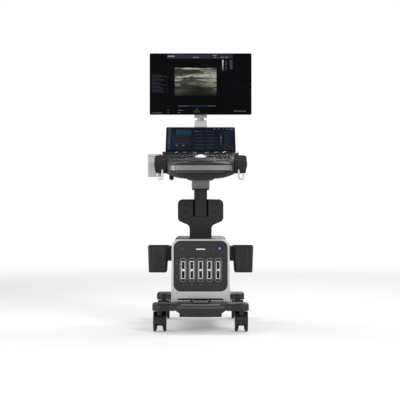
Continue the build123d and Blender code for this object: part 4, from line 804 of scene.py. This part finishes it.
# seven-bar digits under the ports
SEGMENTS = {
    "top": (0, 3.0, 2.6, 0.7),
    "middle": (0, 0, 2.6, 0.7),
    "bottom": (0, -3.0, 2.6, 0.7),
    "upper_left": (-1.6, 1.5, 0.7, 2.4),
    "upper_right": (1.6, 1.5, 0.7, 2.4),
    "lower_left": (-1.6, -1.5, 0.7, 2.4),
    "lower_right": (1.6, -1.5, 0.7, 2.4),
}
DIGITS = (
    ("upper_right", "lower_right"),
    ("top", "upper_right", "middle", "lower_left", "bottom"),
    ("top", "upper_right", "middle", "lower_right", "bottom"),
    ("upper_left", "upper_right", "middle", "lower_right"),
    ("top", "upper_left", "middle", "lower_right", "bottom"),
)
panel_low, panel_high, panel_size = size("port_panel")
face = front(panel_low.y)
prints = Solid()
for x, digit in zip(port_x, DIGITS):
    for segment in digit:
        du, dv, w, h = SEGMENTS[segment]
        prints.prism(face, rect(w, h), 0, INK, x + du * MM, port_z - 77.5 * MM + dv * MM)
for z in (port_z + 33 * MM, port_z - 35 * MM):
    prints.ring(face, disc(3, 24), disc(2.3, 24), 0, INK, -123 * MM, z)
    prints.prism(face, rect(0.8, 3.2), 0, INK, -123 * MM, z)
prints.done("port_numbers", "cart", print_grey, "panel_dark")
piece = Solid().prism(face, rect(50, 6, 3), 0, 0.5, 0, port_z + 108.5 * MM)
piece.done("console_badge", "cart", print_white, "panel_dark", 0.2)

button_low, button_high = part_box("power_button")
button_x, button_z = (button_low.x + button_high.x) / 2, (button_low.z + button_high.z) / 2
button_face = Flat((button_x, button_low.y, button_z), (1, 0, 0), (0, 0, 1))
icon = Solid()
turn = [math.radians(a) for a in range(125, 416, 10)]
icon.path(
    [button_face.at(4.2 * MM * math.cos(a), 4.2 * MM * math.sin(a), 0.2 * MM) for a in turn], 0.7 * MM, 8
)
icon.prism(button_face, rect(1.4, 5, 0.5), 0, 0.6, 0, 3.6 * MM)
icon.done("power_mark", "power_button", glow("power_ink", (0.75, 0.85, 1.0), 1.1), "button_navy")
piece = Solid().ring(face, disc(17), disc(14.8), -0.5, 0.8, button_x, button_z)
piece.done("power_halo", "cart", glow("halo_blue", (0.012, 0.016, 0.07), 0.6), "button_navy", 0.2)

frame_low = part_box("console_frame")[0]
SLOT_Z = frame_low.z + 15 * MM
slot_y = front_of("console_frame", 0, SLOT_Z)
slats = Solid()
for k in range(25):
    slats.bar(
        ((k - 12) * 9.2 * MM - 0.6 * MM, slot_y - 16 * MM, SLOT_Z - 4.3 * MM),
        ((k - 12) * 9.2 * MM + 0.6 * MM, slot_y, SLOT_Z + 4.3 * MM),
    )
slats.bar(
    (-117 * MM, slot_y - 0.6 * MM, SLOT_Z - 4.4 * MM), (117 * MM, slot_y + 0.2 * MM, SLOT_Z + 4.4 * MM)
)
slats.done("intake_slats", "cart", cavity, "frame_silver")
lip = front(frame_low.y)
piece = Solid().prism(lip, rect(64, 4.5, 2), -2, 0.6, 0, SLOT_Z - 7.6 * MM)
piece.done("intake_catch", "cart", cavity, "frame_silver", 0.3)

# shadow joint where the port panel sits in its ring
piece = Solid().ring(
    face,
    box_outline(panel_size.x - 0.6 * MM, panel_size.z - 0.6 * MM, 36.7 * MM, 12),
    box_outline(panel_size.x - 3 * MM, panel_size.z - 3 * MM, 35.5 * MM, 12),
    -0.4,
    0.25,
    0,
    (panel_low.z + panel_high.z) / 2,
)
piece.done("port_panel_joint", "cart", cavity, "panel_dark")

# vents on the console's flanks
sides_low, sides_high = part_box("side_panels")
vents = Solid()
for side in (-1, 1):
    flank = Flat((side * sides_high.x, 0, 0), (0, side, 0), (0, 0, 1))
    for row in range(7):
        for column in range(12):
            vents.prism(
                flank,
                rect(9, 2.6, 1.3),
                -0.3,
                0.25,
                side * 120 * MM + (column - 5.5) * 11.5 * MM * side,
                sides_low.z + (34 + row * 6.5) * MM,
            )
vents.done("side_vents", "cart", cavity, "side_silver")

# rear panel: service covers, vents, sockets, screws
rear_low, rear_high, rear_size = size("rear_panel")
rear = back(rear_high.y)
details, dark = Solid(), Solid()
details.ring(rear, rect(190, 62, 6), rect(184, 56, 4), 0, 1.2, 0, rear_high.z - 62 * MM)
for k, width in enumerate((15, 15, 13, 13, 22, 17)):
    dark.prism(rear, rect(width, 9, 1), -0.2, 0.6, (-76 + 29 * k) * MM, rear_high.z - 62 * MM)
    details.ring(
        rear,
        rect(width + 3, 12, 1.5),
        rect(width, 9, 1),
        0,
        1.0,
        (-76 + 29 * k) * MM,
        rear_high.z - 62 * MM,
    )
for row in range(9):
    for column in range(10):
        dark.prism(
            rear, rect(14, 3, 1.5), -0.2, 0.3, (column - 4.5) * 19 * MM, rear_low.z + (122 + row * 7) * MM
        )
details.done("rear_frames", "cart", dull_line, "rear_black", 0.2)
dark.done("rear_vents", "cart", cavity, "rear_black")
screws(
    "rear_screws",
    "cart",
    "rear_black",
    [
        rear.moved(u * (rear_size.x / 2 - 9 * MM), v)
        for u in (-1, 1) for v in (rear_low.z + 12 * MM, rear_low.z + 150 * MM, rear_high.z - 30 * MM)
    ],
    3.2 * MM,
)

# ---------------------------------------------------------------- base: treads, painted highlight and reflection bands, wheels
rest_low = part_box("foot_rest")[0]
base_low, base_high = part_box("base_cover")
REST_SPAN = 126 * MM
rest_top = touch_point("foot_rest", (-90 * MM, rest_low.y + 40 * MM, 2), (0, 0, -1)).z


def arc_points(z, half, shift=0.0, count=24):
    """Points on the foot rest's bowed front at one height."""
    spots = []
    for k in range(count + 1):
        x = half * (2 * k / count - 1)
        spots.append((x, front_of("foot_rest", x, z) + shift, z))
    return spots


# painted reflection: a soft grey band along the foot rest's bowed front, where the curved face reflects the light
reflection_band = Solid()
ribbon(reflection_band, arc_points(rest_top - 23 * MM, REST_SPAN - 3 * MM), (0, -1, 0), 11, 0.4)
reflection_band.done("foot_rest_painted_reflection", "cart", moulded("painted_reflection_grey", (0.05, 0.0505, 0.052), 0.3), "cover_black")
# painted highlight: a light grey band just under the foot rest's top, where the rounded edge catches the light
highlight_band = Solid()
ribbon(highlight_band, arc_points(rest_top - 9 * MM, 100 * MM), (0, -1, 0), 5, 0.4)
highlight_band.done("foot_rest_painted_highlight", "cart", moulded("painted_highlight_rest", (0.15, 0.151, 0.154), 0.3), "cover_black")
ends = Solid()
for side in (-1, 1):
    x, z = side * 98 * MM, rest_low.z + 11 * MM
    ends.prism(front(front_of("foot_rest", x, z)), rect(17, 17, 3), -1, 0.5, x, z)
ends.done("foot_rest_ends", "cart", cavity, "cover_black", 0.2)
groove = Solid()
ribbon(groove, arc_points(rest_top - 34 * MM, REST_SPAN - 4 * MM), (0, -1, 0), 1.6, 0.3)
ribbon(groove, arc_points(rest_low.z + 6 * MM, 104 * MM), (0, -1, 0), 1.6, 0.3)
groove.done("foot_rest_grooves", "cart", cavity, "cover_black")
tread = Solid()
up = Flat((0, 0, rest_top), (1, 0, 0), (0, 1, 0))
for side in (-1, 1):
    for k in range(9):
        tread.prism(up, rect(74, 3, 1.4), -0.2, 0.8, side * 86 * MM, rest_low.y + (24 + 8 * k) * MM)
tread.done("foot_rest_tread", "cart", rubber("tread_rubber", (0.05, 0.05, 0.052), 0.6), "cover_black", 0.3)
# brushed tread plates on the foot rest's top; their lighter grey is partly their own metal and partly a painted
# highlight on the top surface
plate_and_highlight = Solid()
for side in (-1, 1):
    plate_and_highlight.prism(up, rect(80, 84, 5), -0.2, 0.3, side * 86 * MM, rest_low.y + 62 * MM)
plate_and_highlight.done(
    "foot_rest_plate_and_highlight",
    "cart",
    brushed("tread_plate_and_highlight", (0.34, 0.343, 0.35), 0.36, (0.05, 1, 1)),
    "cover_black",
    0.1,
)
# painted highlight: a silver strip along the front of the foot rest's top, where the edge catches the light
edge_highlight = Solid()
for side in (-1, 1):
    spots = []
    for k in range(13):
        x = side * (44 + 82 * k / 12) * MM
        y = front_of("foot_rest", x, rest_top - 12 * MM) + 10.5 * MM
        spots.append((x, y, rest_top))
    ribbon(edge_highlight, spots, (0, 0, 1), 5, 0.5)
edge_highlight.done("foot_rest_edge_highlight", "cart", silver_line, "cover_black", 0.15)

pedal_low, pedal_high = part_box("brake_pedal")
pads = Solid()
pedal_top = touch_point("brake_pedal", (0, (pedal_low.y + pedal_high.y) / 2, 2), (0, 0, -1)).z
top_plane = Flat((0, 0, pedal_top), (1, 0, 0), (0, 1, 0))
for k in range(5):
    pads.prism(top_plane, rect(68, 3.4, 1.6), -0.2, 1.0, 0, pedal_low.y + (14 + 9 * k) * MM)
pads.done("pedal_ribs", "brake_pedal", rubber("pedal_rubber", (0.03, 0.03, 0.031), 0.65), "pedal_grey", 0.3)

rings, caps = Solid(), Solid()
for side in (-1, 1):
    for x, z, r in ((148, base_low.z + 13 * MM, 9.5), (218, base_high.z - 15 * MM, 7.5)):
        x = side * x * MM
        y = front_of("base_cover", x, z)
        rings.ring(front(y), disc(r, 32), disc(r - 1.5, 32), -0.5, 0.7, x, z)
        caps.prism(front(y), disc(r - 2.6, 32), -0.5, 0.4, x, z)
rings.done("base_rings", "cart", dull_line, "cover_black", 0.2)
caps.done("base_caps", "cart", cavity, "cover_black", 0.2)

for corner in ("front_left", "front_right", "rear_left", "rear_right"):
    low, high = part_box(f"caster_wheels_{corner}")
    hub = Vector(joints[f"roll_{corner}"]["pos_m"])
    wheel, tyre, bolts = Solid(), Solid(), Solid()
    for side in (-1, 1):
        outer = Flat((high.x if side > 0 else low.x, hub.y, hub.z), (0, side, 0), (0, 0, 1))
        wheel.prism(outer, disc(31, 48), -2, 0.0, top=0.97)
        wheel.ring(outer, disc(33, 48), disc(31, 48), -2, -0.4)
        tyre.ring(outer, disc(39, 48), disc(37.6, 48), -1, 0.0)
        bolts.prism(outer, disc(7, 6), -1.5, 0.0)
        for k in range(5):
            a = math.radians(90 + 72 * k)
            bolts.prism(outer, disc(3.2, 20), -1.5, 0.0, 20 * MM * math.cos(a), 20 * MM * math.sin(a))
    wheel.done(f"hub_{corner}", f"caster_rollers_{corner}", dull_line, "tyre_grey", 0.3)
    tyre.done(f"tyre_line_{corner}", f"caster_rollers_{corner}", cavity, "tyre_grey")
    bolts.done(f"hub_bolts_{corner}", f"caster_rollers_{corner}", cavity, "tyre_grey")
    stem = Vector(joints[f"swivel_{corner}"]["pos_m"])
    collar = Solid()
    under = Flat((stem.x, stem.y, base_low.z), (1, 0, 0), (0, 1, 0))
    collar.ring(under, disc(13, 32), disc(6.6, 32), -1.6, 0.6)
    collar.done(f"swivel_race_{corner}", "cart", screw_steel, "frame_steel", 0.2)

# ---------------------------------------------------------------- column cover
cover_low, cover_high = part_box("column_cover")
RECESS_HALF = 42.5 * MM
recess_foot = cover_high.z - 94 * MM
border = Solid()
cover_y = front_of("column_cover", RECESS_HALF + 6 * MM, cover_high.z - 30 * MM)
outline = [
    (-RECESS_HALF - 3 * MM, cover_high.z - 4 * MM),
    (-RECESS_HALF - 3 * MM, recess_foot - 3 * MM),
    (RECESS_HALF + 3 * MM, recess_foot - 3 * MM),
    (RECESS_HALF + 3 * MM, cover_high.z - 4 * MM),
]
for (xa, za), (xb, zb) in zip(outline, outline[1:]):
    ribbon(border, [(xa, cover_y, za), (xb, cover_y, zb)], (0, -1, 0), 2.4, 0.8)
border.done("recess_border", "cart", moulded("border_dark", (0.04, 0.04, 0.041), 0.35), "cover_black", 0.2)
seam = Solid()
ribbon(
    seam,
    [
        (x * MM, front_of("column_cover", x * MM, recess_foot - 7 * MM), recess_foot - 7 * MM)
        for x in range(-56, 57, 8)
    ],
    (0, -1, 0),
    1.2,
    0.3,
)
ribbon(
    seam,
    [
        (x * MM, front_of("column_cover", x * MM, cover_low.z + 8 * MM), cover_low.z + 8 * MM)
        for x in range(-56, 57, 8)
    ],
    (0, -1, 0),
    1.2,
    0.3,
)
seam.done("cover_seams", "cart", cavity, "cover_black")
caps, marks = Solid(), Solid()
for side in (-1, 1):
    for x, z, r in ((86, cover_high.z - 28 * MM, 11), (82, cover_high.z - 66 * MM, 15)):
        y = front_of("column_cover", side * x * MM, z)
        caps.ring(front(y), disc(r, 40), disc(r - 1.2, 40), -0.3, 0.5, side * x * MM, z)
        marks.prism(front(y), disc(r - 2.2, 40), -0.3, 0.3, side * x * MM, z)
caps.done("ear_rings", "cart", moulded("ear_ring", (0.05, 0.05, 0.052), 0.4), "cover_black", 0.2)
marks.done("ear_pads", "cart", rubber("ear_pad", (0.012, 0.012, 0.0125), 0.7), "cover_black")

mast_low, mast_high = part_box("column_mast")
lines = Solid()
for side in (-1, 1):
    lines.bar(
        (side * 20 * MM - 0.6 * MM, mast_low.y - 0.25 * MM, recess_foot + 10 * MM),
        (side * 20 * MM + 0.6 * MM, mast_low.y + 0.5 * MM, mast_high.z - 30 * MM),
    )
lines.done("mast_grooves", "lift_mast", cavity, "column_black")

# ---------------------------------------------------------------- accessory pockets
for side in ("left", "right"):
    low, high, span = size(f"pocket_{side}")
    ribs = Solid()
    for k in (0.28, 0.72):
        x = low.x + span.x * k
        top_y = front_of(f"pocket_{side}", x, high.z - 10 * MM)
        foot_y = front_of(f"pocket_{side}", x, low.z + 14 * MM)
        ribbon(ribs, [(x, top_y, high.z - 10 * MM), (x, foot_y, low.z + 14 * MM)], (0, -1, 0), 1.2, 0.4)
    x0, x1 = low.x + 6 * MM, high.x - 6 * MM
    z = high.z - 8 * MM
    ribbon(
        ribs,
        [(x0, front_of(f"pocket_{side}", x0, z), z), (x1, front_of(f"pocket_{side}", x1, z), z)],
        (0, -1, 0),
        1.4,
        0.5,
    )
    ribs.done(
        f"pocket_lines_{side}",
        "cart",
        moulded(f"pocket_line_{side}", (0.06, 0.06, 0.062), 0.4),
        "pocket_black",
    )

# ---------------------------------------------------------------- control panel
deck_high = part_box("panel_deck")[1]
deck_up = Vector((0, -math.sin(DECK_TILT), math.cos(DECK_TILT)))
deck_along = Vector((0, math.cos(DECK_TILT), math.sin(DECK_TILT)))


def on_deck(x, y, node="panel_deck"):
    """Plane on the sloping deck under a point given in plan."""
    spot = touch_point(node, Vector((x, y, deck_high.z + 0.2)), (0, 0, -1))
    return Flat(spot, (1, 0, 0), deck_along)


for k in range(1, 7):
    centre = Vector(joints[f"knob_turn_{k}"]["pos_m"])
    outer = k in (1, 6)
    middle = k in (3, 4)
    top = touch_point(f"knob_{k}", centre + deck_up * 0.05, -deck_up)
    crown = Flat(top, (1, 0, 0), deck_along)
    cap = Solid()
    cap.prism(crown, disc(7.8, 40), -0.4, 0.5, top=0.95)
    cap.done(f"knob_cap_{k}", f"knob_{k}", chrome if outer else M["deck_black"], "knob_silver", 0.2)
    skirt = Solid()
    skirt.ring(crown, disc(10.0, 48), disc(9.0, 48), -2.6, -1.0)
    ribs = Solid()
    for j in range(28):
        a = 2 * math.pi * j / 28
        r = 9.75 * MM
        spot = crown.at(r * math.cos(a), r * math.sin(a), 0)
        tooth = Flat(
            spot,
            crown.u * math.cos(a) + crown.v * math.sin(a),
            crown.v * math.cos(a) - crown.u * math.sin(a),
        )
        ribs.prism(tooth, rect(0.9, 0.9), -11.5, -3.2)
    ribs.done(f"knob_grip_{k}", f"knob_{k}", silver_line if middle else M["knob_silver"], "knob_silver")
    skirt.done(f"knob_band_{k}", f"knob_{k}", chrome, "knob_silver", 0.15)
    collar = Solid()
    seat = on_deck(centre.x, centre.y - 14 * MM)
    seat = Flat(seat.origin + deck_along * (14 * MM / math.cos(DECK_TILT)), (1, 0, 0), deck_along)
    collar.ring(seat, disc(13.2, 48), disc(11.4, 48), -0.3, 0.7)
    collar.done(f"knob_collar_{k}", "control_panel", silver_line, "deck_black", 0.2)

ball = Vector(joints["ball_roll"]["pos_m"])
for side, name in ((-1, "left"), (1, "right")):
    low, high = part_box(f"set_key_{name}")
    centre = (low + high) / 2
    top = touch_point(f"set_key_{name}", centre + deck_up * 0.05, -deck_up)
    cap = Flat(top, (1, 0, 0), deck_along)
    edge = Solid()
    ribbon(
        edge, [cap.at(-side * 11.5 * MM, -4.6 * MM), cap.at(-side * 9.5 * MM, 4.6 * MM)], deck_up, 1.5, 0.5
    )
    ribbon(edge, [cap.at(side * 4 * MM, -4.6 * MM), cap.at(side * 11.5 * MM, 3.4 * MM)], deck_up, 1.5, 0.5)
    edge.done(f"set_key_edges_{name}", f"set_key_{name}", chrome, "key_grey")

legends = Solid()
for side in (-1, 1):
    for row in (-28, -10, 8):
        for column in (86, 106, 126, 146):
            spot = touch_point(
                "key_bank",
                Vector((side * column * MM, ball.y + row * MM + 3.0 * MM, deck_high.z + 0.2)),
                (0, 0, -1),
            )
            cap = Flat(spot, (1, 0, 0), deck_along)
            legends.prism(cap, rect(random.choice((3.4, 4.6, 5.6)), 0.9), -0.1, 0.15, 0, 0)
            legends.prism(cap, rect(1.6, 1.6, 0.8), -0.1, 0.15, 0, -2.4 * MM)
legends.done("key_marks", "control_panel", glow("key_ink", (0.35, 0.42, 0.5), 0.8), "key_grey")

# palm rest: light grey strips at its ends, painted highlights where the rounded ends catch the light, and a shadow
# slot above the handle
palm_low, palm_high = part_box("palm_rest")
palm_highlights, slot_line = Solid(), Solid()
for side in (-1, 1):
    places = [
        (side * (62 + 88 * k / 14) * MM, palm_low.z + (17 - 7 * (k / 14) ** 2) * MM) for k in range(15)
    ]
    ribbon(palm_highlights, skin("palm_rest", places), (0, -1, 0.2), 5.5, 0.4)
palm_highlights.done(
    "palm_painted_highlights", "control_panel", moulded("painted_highlight_grey", (0.12, 0.121, 0.124), 0.35), "palm_grey", 0.15
)
places = [((k - 15) * 11 * MM, palm_low.z + 2.5 * MM) for k in range(31)]
ribbon(slot_line, skin("palm_rest", places), (0, -1, 0), 1.4, 0.3)
slot_line.done("palm_shadow", "control_panel", cavity, "palm_grey")

# deck edge line and the seam between deck and palm rest
edge_line = Solid()
seam_y = palm_high.y
for x0, x1 in ((-160, -60), (60, 160)):
    a = on_deck(x0 * MM, seam_y + 4 * MM)
    b = on_deck(x1 * MM, seam_y + 4 * MM)
    ribbon(edge_line, [a.origin, b.origin], deck_up, 0.9, 0.3)
edge_line.done("deck_seam", "control_panel", dull_line, "deck_black")

handle_low, handle_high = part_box("front_handle")
seams, under = Solid(), Solid()
for x in (-129 * MM, 129 * MM):
    y = front_of("front_handle", x, (handle_low.z + handle_high.z) / 2)
    seams.bar(
        (x - 0.6 * MM, y - 0.35 * MM, handle_low.z - 0.2 * MM),
        (x + 0.6 * MM, y + 20 * MM, handle_high.z + 0.2 * MM),
    )
seams.done("handle_seams", "control_panel", cavity, "handle_grey")
line_z = handle_low.z - 8 * MM
places = [((k - 12) * 10.6 * MM, line_z) for k in range(25)]
ribbon(under, skin("panel_housing", places), (0, -1, 0), 1.6, 0.5)
under.done("underside_line", "control_panel", silver_line, "housing_dark")
joint_line = Solid()
x = 130 * MM
joint_line.bar(
    (x - 0.5 * MM, front_of("panel_housing", x, line_z) - 0.3 * MM, line_z - 14 * MM),
    (x + 0.5 * MM, front_of("panel_housing", x, line_z) + 2 * MM, line_z + 4 * MM),
)
joint_line.done("underside_seam", "control_panel", cavity, "housing_dark")

# probe cups: soft rims, edge lines
for side, name in ((-1, "left"), (1, "right")):
    low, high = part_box(f"probe_holder_{name}")
    mounts = [m for m in frame["record"]["mounts"] if m["name"].startswith(f"probe_cup_{name}")]
    rims, lines = Solid(), Solid()
    for m in mounts:
        x, y, z = m["pos_m"]
        r = m["dims"]["r_mm"] * MM
        gap = math.asin(8.5 * MM / r)
        base = 0 if side > 0 else math.pi
        turn = [base + gap + (2 * math.pi - 2 * gap) * k / 40 for k in range(41)]
        path = []
        for a in turn:
            px, py = x + (r + 1.8 * MM) * math.cos(a), y + (r + 1.8 * MM) * math.sin(a)
            spot = touch_point(f"probe_holder_{name}", (px, py, 2), (0, 0, -1))
            path.append((px, py, (spot.z if spot else high.z) + 0.2 * MM))
        rims.path(path, 1.0 * MM, 8)
    rims.done(f"cup_rims_{name}", "control_panel", M["trim_grey"], "holder_black")
    for drop in (9 * MM, 21 * MM):
        spots = []
        for k in range(9):
            xx = side * (180 + 54 * k / 8) * MM
            zz = high.z - drop - 10 * MM * (k / 8) ** 2.4
            hit = touch_point(f"probe_holder_{name}", (xx, -2, zz), (0, 1, 0))
            if hit and hit.y < low.y + 2 * MM:
                spots.append(hit)
        ribbon(lines, spots, (0, -1, 0), 1.2, 0.4)
    lines.done(f"holder_lines_{name}", "control_panel", dull_line, "holder_black", 0.15)

# gel warmer: rim, dark well lining, band, lamp
low, high, span = size("gel_warmer")
centre = (low + high) / 2
top = Flat((centre.x, centre.y, high.z), (1, 0, 0), (0, 1, 0))
well = (span.x / 2) - 6 * MM
piece = Solid().ring(top, disc_outline(well + 2.4 * MM, 64), disc_outline(well - 0.2 * MM, 64), -1.0, 0.0)
piece.done("warmer_rim", "control_panel", print_white, "warmer_grey", 0.4)
piece = Solid().ring(top, disc_outline(well + 0.1 * MM, 64), disc_outline(well - 0.9 * MM, 64), -60, -1.2)
piece.done("warmer_lining", "control_panel", cavity, "warmer_grey")
wall = front(low.y)
piece = Solid().ring(
    wall,
    box_outline(span.x - 16 * MM, 3 * MM, 1.4 * MM),
    box_outline(span.x - 19 * MM, 1.2 * MM, 0.5 * MM),
    -0.3,
    0.35,
    centre.x,
    high.z - 14 * MM,
)
piece.done("warmer_band", "control_panel", dull_line, "warmer_grey")
piece = Solid().prism(wall, disc(1.8, 20), -0.3, 0.4, centre.x - 18 * MM, low.z + 14 * MM)
piece.done("warmer_lamp", "control_panel", glow("lamp_green", (0.1, 0.5, 0.15), 0.9), "warmer_grey")

# underside of the panel: screws
spots = []
for x, y in ((-120, -320), (120, -320), (-120, -170), (120, -170), (-60, -90), (60, -90)):
    hit = touch_point("panel_housing", (x * MM, y * MM, 0), (0, 0, 1))
    spots.append(Flat(hit, (1, 0, 0), (0, -1, 0)))
screws("panel_screws", "control_panel", "housing_dark", spots, 3.0 * MM)

sleeve_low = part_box("column_sleeve")[0]
seam = Solid()
seam.bar(
    (-38 * MM, sleeve_low.y - 0.3 * MM, sleeve_low.z + 6 * MM),
    (38 * MM, sleeve_low.y + 0.5 * MM, sleeve_low.z + 7 * MM),
)
seam.done("sleeve_seam", "lift_sleeve", dull_line, "sleeve_grey")

# ---------------------------------------------------------------- touch screen housing
behind = Flat(touch.at(0, 0.104, 0), (-1, 0, 0), slope)
back_spot = touch_point("touch_housing", Vector(behind.origin) + behind.n * 0.3, -behind.n)
behind = Flat(back_spot, (-1, 0, 0), slope)
dark = Solid()
for row in range(6):
    for column in range(13):
        dark.prism(behind, rect(15, 2.4, 1.2), -0.3, 0.25, (column - 6) * 20 * MM, (18 + 7 * row) * MM)
dark.done("touch_vents", "touch_screen", cavity, "screen_frame")
screws(
    "touch_screws",
    "touch_screen",
    "screen_frame",
    [behind.moved(u * 170 * MM, v * MM) for u in (-1, 1) for v in (-78, 0, 78)],
    2.6 * MM,
)

# ---------------------------------------------------------------- arm and monitor
for name, body, joint in (("elbow", "arm_lower", "arm_lift"), ("head", "arm_head", "head_level")):
    pivot = Vector(joints[joint]["pos_m"])
    caps = Solid()
    for side in (-1, 1):
        hit = touch_point(body, (side * 0.5, pivot.y, pivot.z), (-side, 0, 0))
        disc_face = Flat(hit, (0, side, 0), (0, 0, 1))
        caps.ring(disc_face, disc(9, 36), disc(7.6, 36), -0.3, 0.6)
        caps.prism(disc_face, disc(4, 6), -0.3, 0.8)
    caps.done(f"pivot_caps_{name}", body, screw_steel, "arm_silver", 0.2)

shell_low, shell_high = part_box("monitor_shell")
grilles, plates = Solid(), Solid()
for side in (-1, 1):
    for row in range(7):
        for column in range(16):
            x = side * (0.055 + 0.0112 * column)
            z = shell_high.z - 0.06 - 0.0065 * row
            hit = rear_of("monitor_shell", x, z)
            grilles.prism(back(hit), rect(8.4, 2.2, 1.1), -0.4, 0.25, -x, z)
grilles.done("monitor_vents", "monitor", cavity, "screen_frame")
z = (shell_low.z + shell_high.z) / 2
# the housing's flat back, beside the hinge lugs
plate_face = back(rear_of("monitor_shell", 50 * MM, z))
plates.ring(plate_face, rect(118, 118, 10), rect(110, 110, 8), -0.3, 0.25, 0, z + 6 * MM)
plates.done("monitor_plate", "monitor", dull_line, "screen_frame")
frame_edge = Solid()
face = front(screen_low.y)
frame_edge.ring(
    face,
    box_outline(screen_size.x - 1.2 * MM, screen_size.z - 1.2 * MM, 5 * MM),
    box_outline(screen_size.x - 2.4 * MM, screen_size.z - 2.4 * MM, 4.5 * MM),
    -0.5,
    0.15,
    0,
    (screen_low.z + screen_high.z) / 2,
)
frame_edge.done(
    "monitor_frame_line", "monitor", moulded("frame_line", (0.025, 0.026, 0.03), 0.4), "screen_frame"
)
mount_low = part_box("monitor_bracket")[0]
screws(
    "mount_screws",
    "monitor_mount",
    "arm_silver",
    [
        Flat(
            (
                side * 14 * MM,
                front_of("monitor_bracket", side * 14 * MM, mount_low.z + 40 * MM),
                mount_low.z + 40 * MM,
            ),
            (1, 0, 0),
            (0, 0, 1),
        )
        for side in (-1, 1)
    ],
    2.2 * MM,
)

# ---------------------------------------------------------------- stage, camera, light
bpy.ops.mesh.primitive_circle_add(vertices=96, radius=30, fill_type="NGON")
floor = bpy.context.object
floor.name = "floor"
s = Shade("floor")
radius = s.node("ShaderNodeVectorMath", {0: s.coords}, operation="LENGTH").outputs["Value"]
away = s.span(radius, 1.6, 5.5, 0, 1, True)
paper = s.mix(s.noise(3.0, 2.0), (0.86, 0.86, 0.86, 1), (0.9, 0.9, 0.9, 1))
diffuse = s.node(
    "ShaderNodeBsdfPrincipled", {"Base Color": paper, "Roughness": 0.85, "Specular IOR Level": 0.1}
)
light = s.node("ShaderNodeEmission", {"Color": (1, 1, 1, 1), "Strength": 1.0})
lift = s.span(away, 0, 1, 0.3, 1)
blend = s.node("ShaderNodeMixShader", {0: lift, 1: diffuse.outputs[0], 2: light.outputs[0]})
s.node("ShaderNodeOutputMaterial", {"Surface": blend.outputs[0]})
floor.data.materials.append(s.mat)

world = bpy.data.worlds.new("studio")
bpy.context.scene.world = world
world.use_nodes = True
tree = world.node_tree
room = tree.nodes["Background"]
room.inputs[0].default_value = (1, 1, 1, 1)
room.inputs[1].default_value = 0.3
white = tree.nodes.new("ShaderNodeBackground")
rays = tree.nodes.new("ShaderNodeLightPath")
both = tree.nodes.new("ShaderNodeMixShader")
tree.links.new(rays.outputs["Is Camera Ray"], both.inputs[0])
tree.links.new(room.outputs[0], both.inputs[1])
tree.links.new(white.outputs[0], both.inputs[2])
tree.links.new(both.outputs[0], tree.nodes["World Output"].inputs[0])
white.inputs[0].default_value = (1, 1, 1, 1)


def lamp(name, place, target, width, height, power):
    data = bpy.data.lights.new(name, "AREA")
    data.shape = "RECTANGLE"
    data.size, data.size_y, data.energy = width, height, power
    made = bpy.data.objects.new(name, data)
    made.location = place
    made.rotation_euler = (Vector(target) - Vector(place)).to_track_quat("-Z", "Y").to_euler()
    bpy.context.scene.collection.objects.link(made)


lamp("key", (2.4, -3.6, 2.9), (0, 0, 0.75), 1.2, 1.6, 120)
lamp("fill", (-2.9, -2.8, 1.5), (0, 0, 0.7), 1.2, 2.2, 55)
lamp("top_left", (-2.0, 0.4, 3.0), (0, 0, 0.9), 1.0, 1.6, 40)
lamp("top_right", (2.0, 0.9, 3.0), (0, 0, 0.9), 1.0, 1.6, 40)
lamp("back", (0.8, 3.4, 2.4), (0, 0, 0.9), 1.8, 1.8, 40)

CAMERA_DISTANCE = 6.14
CAMERA_HEIGHT = 0.72
CAMERA_LENS = 101.43
CAMERA_SHIFT = (-0.0015, -0.0165)
camera = bpy.data.cameras.new("camera")
camera.sensor_width = 36
camera.lens = CAMERA_LENS
camera.shift_x, camera.shift_y = CAMERA_SHIFT
eye = bpy.data.objects.new("camera", camera)
eye.location = (0, -CAMERA_DISTANCE, CAMERA_HEIGHT)
eye.rotation_euler = (math.pi / 2, 0, 0)
bpy.context.scene.collection.objects.link(eye)
bpy.context.scene.camera = eye
bpy.context.scene.view_settings.view_transform = "Standard"
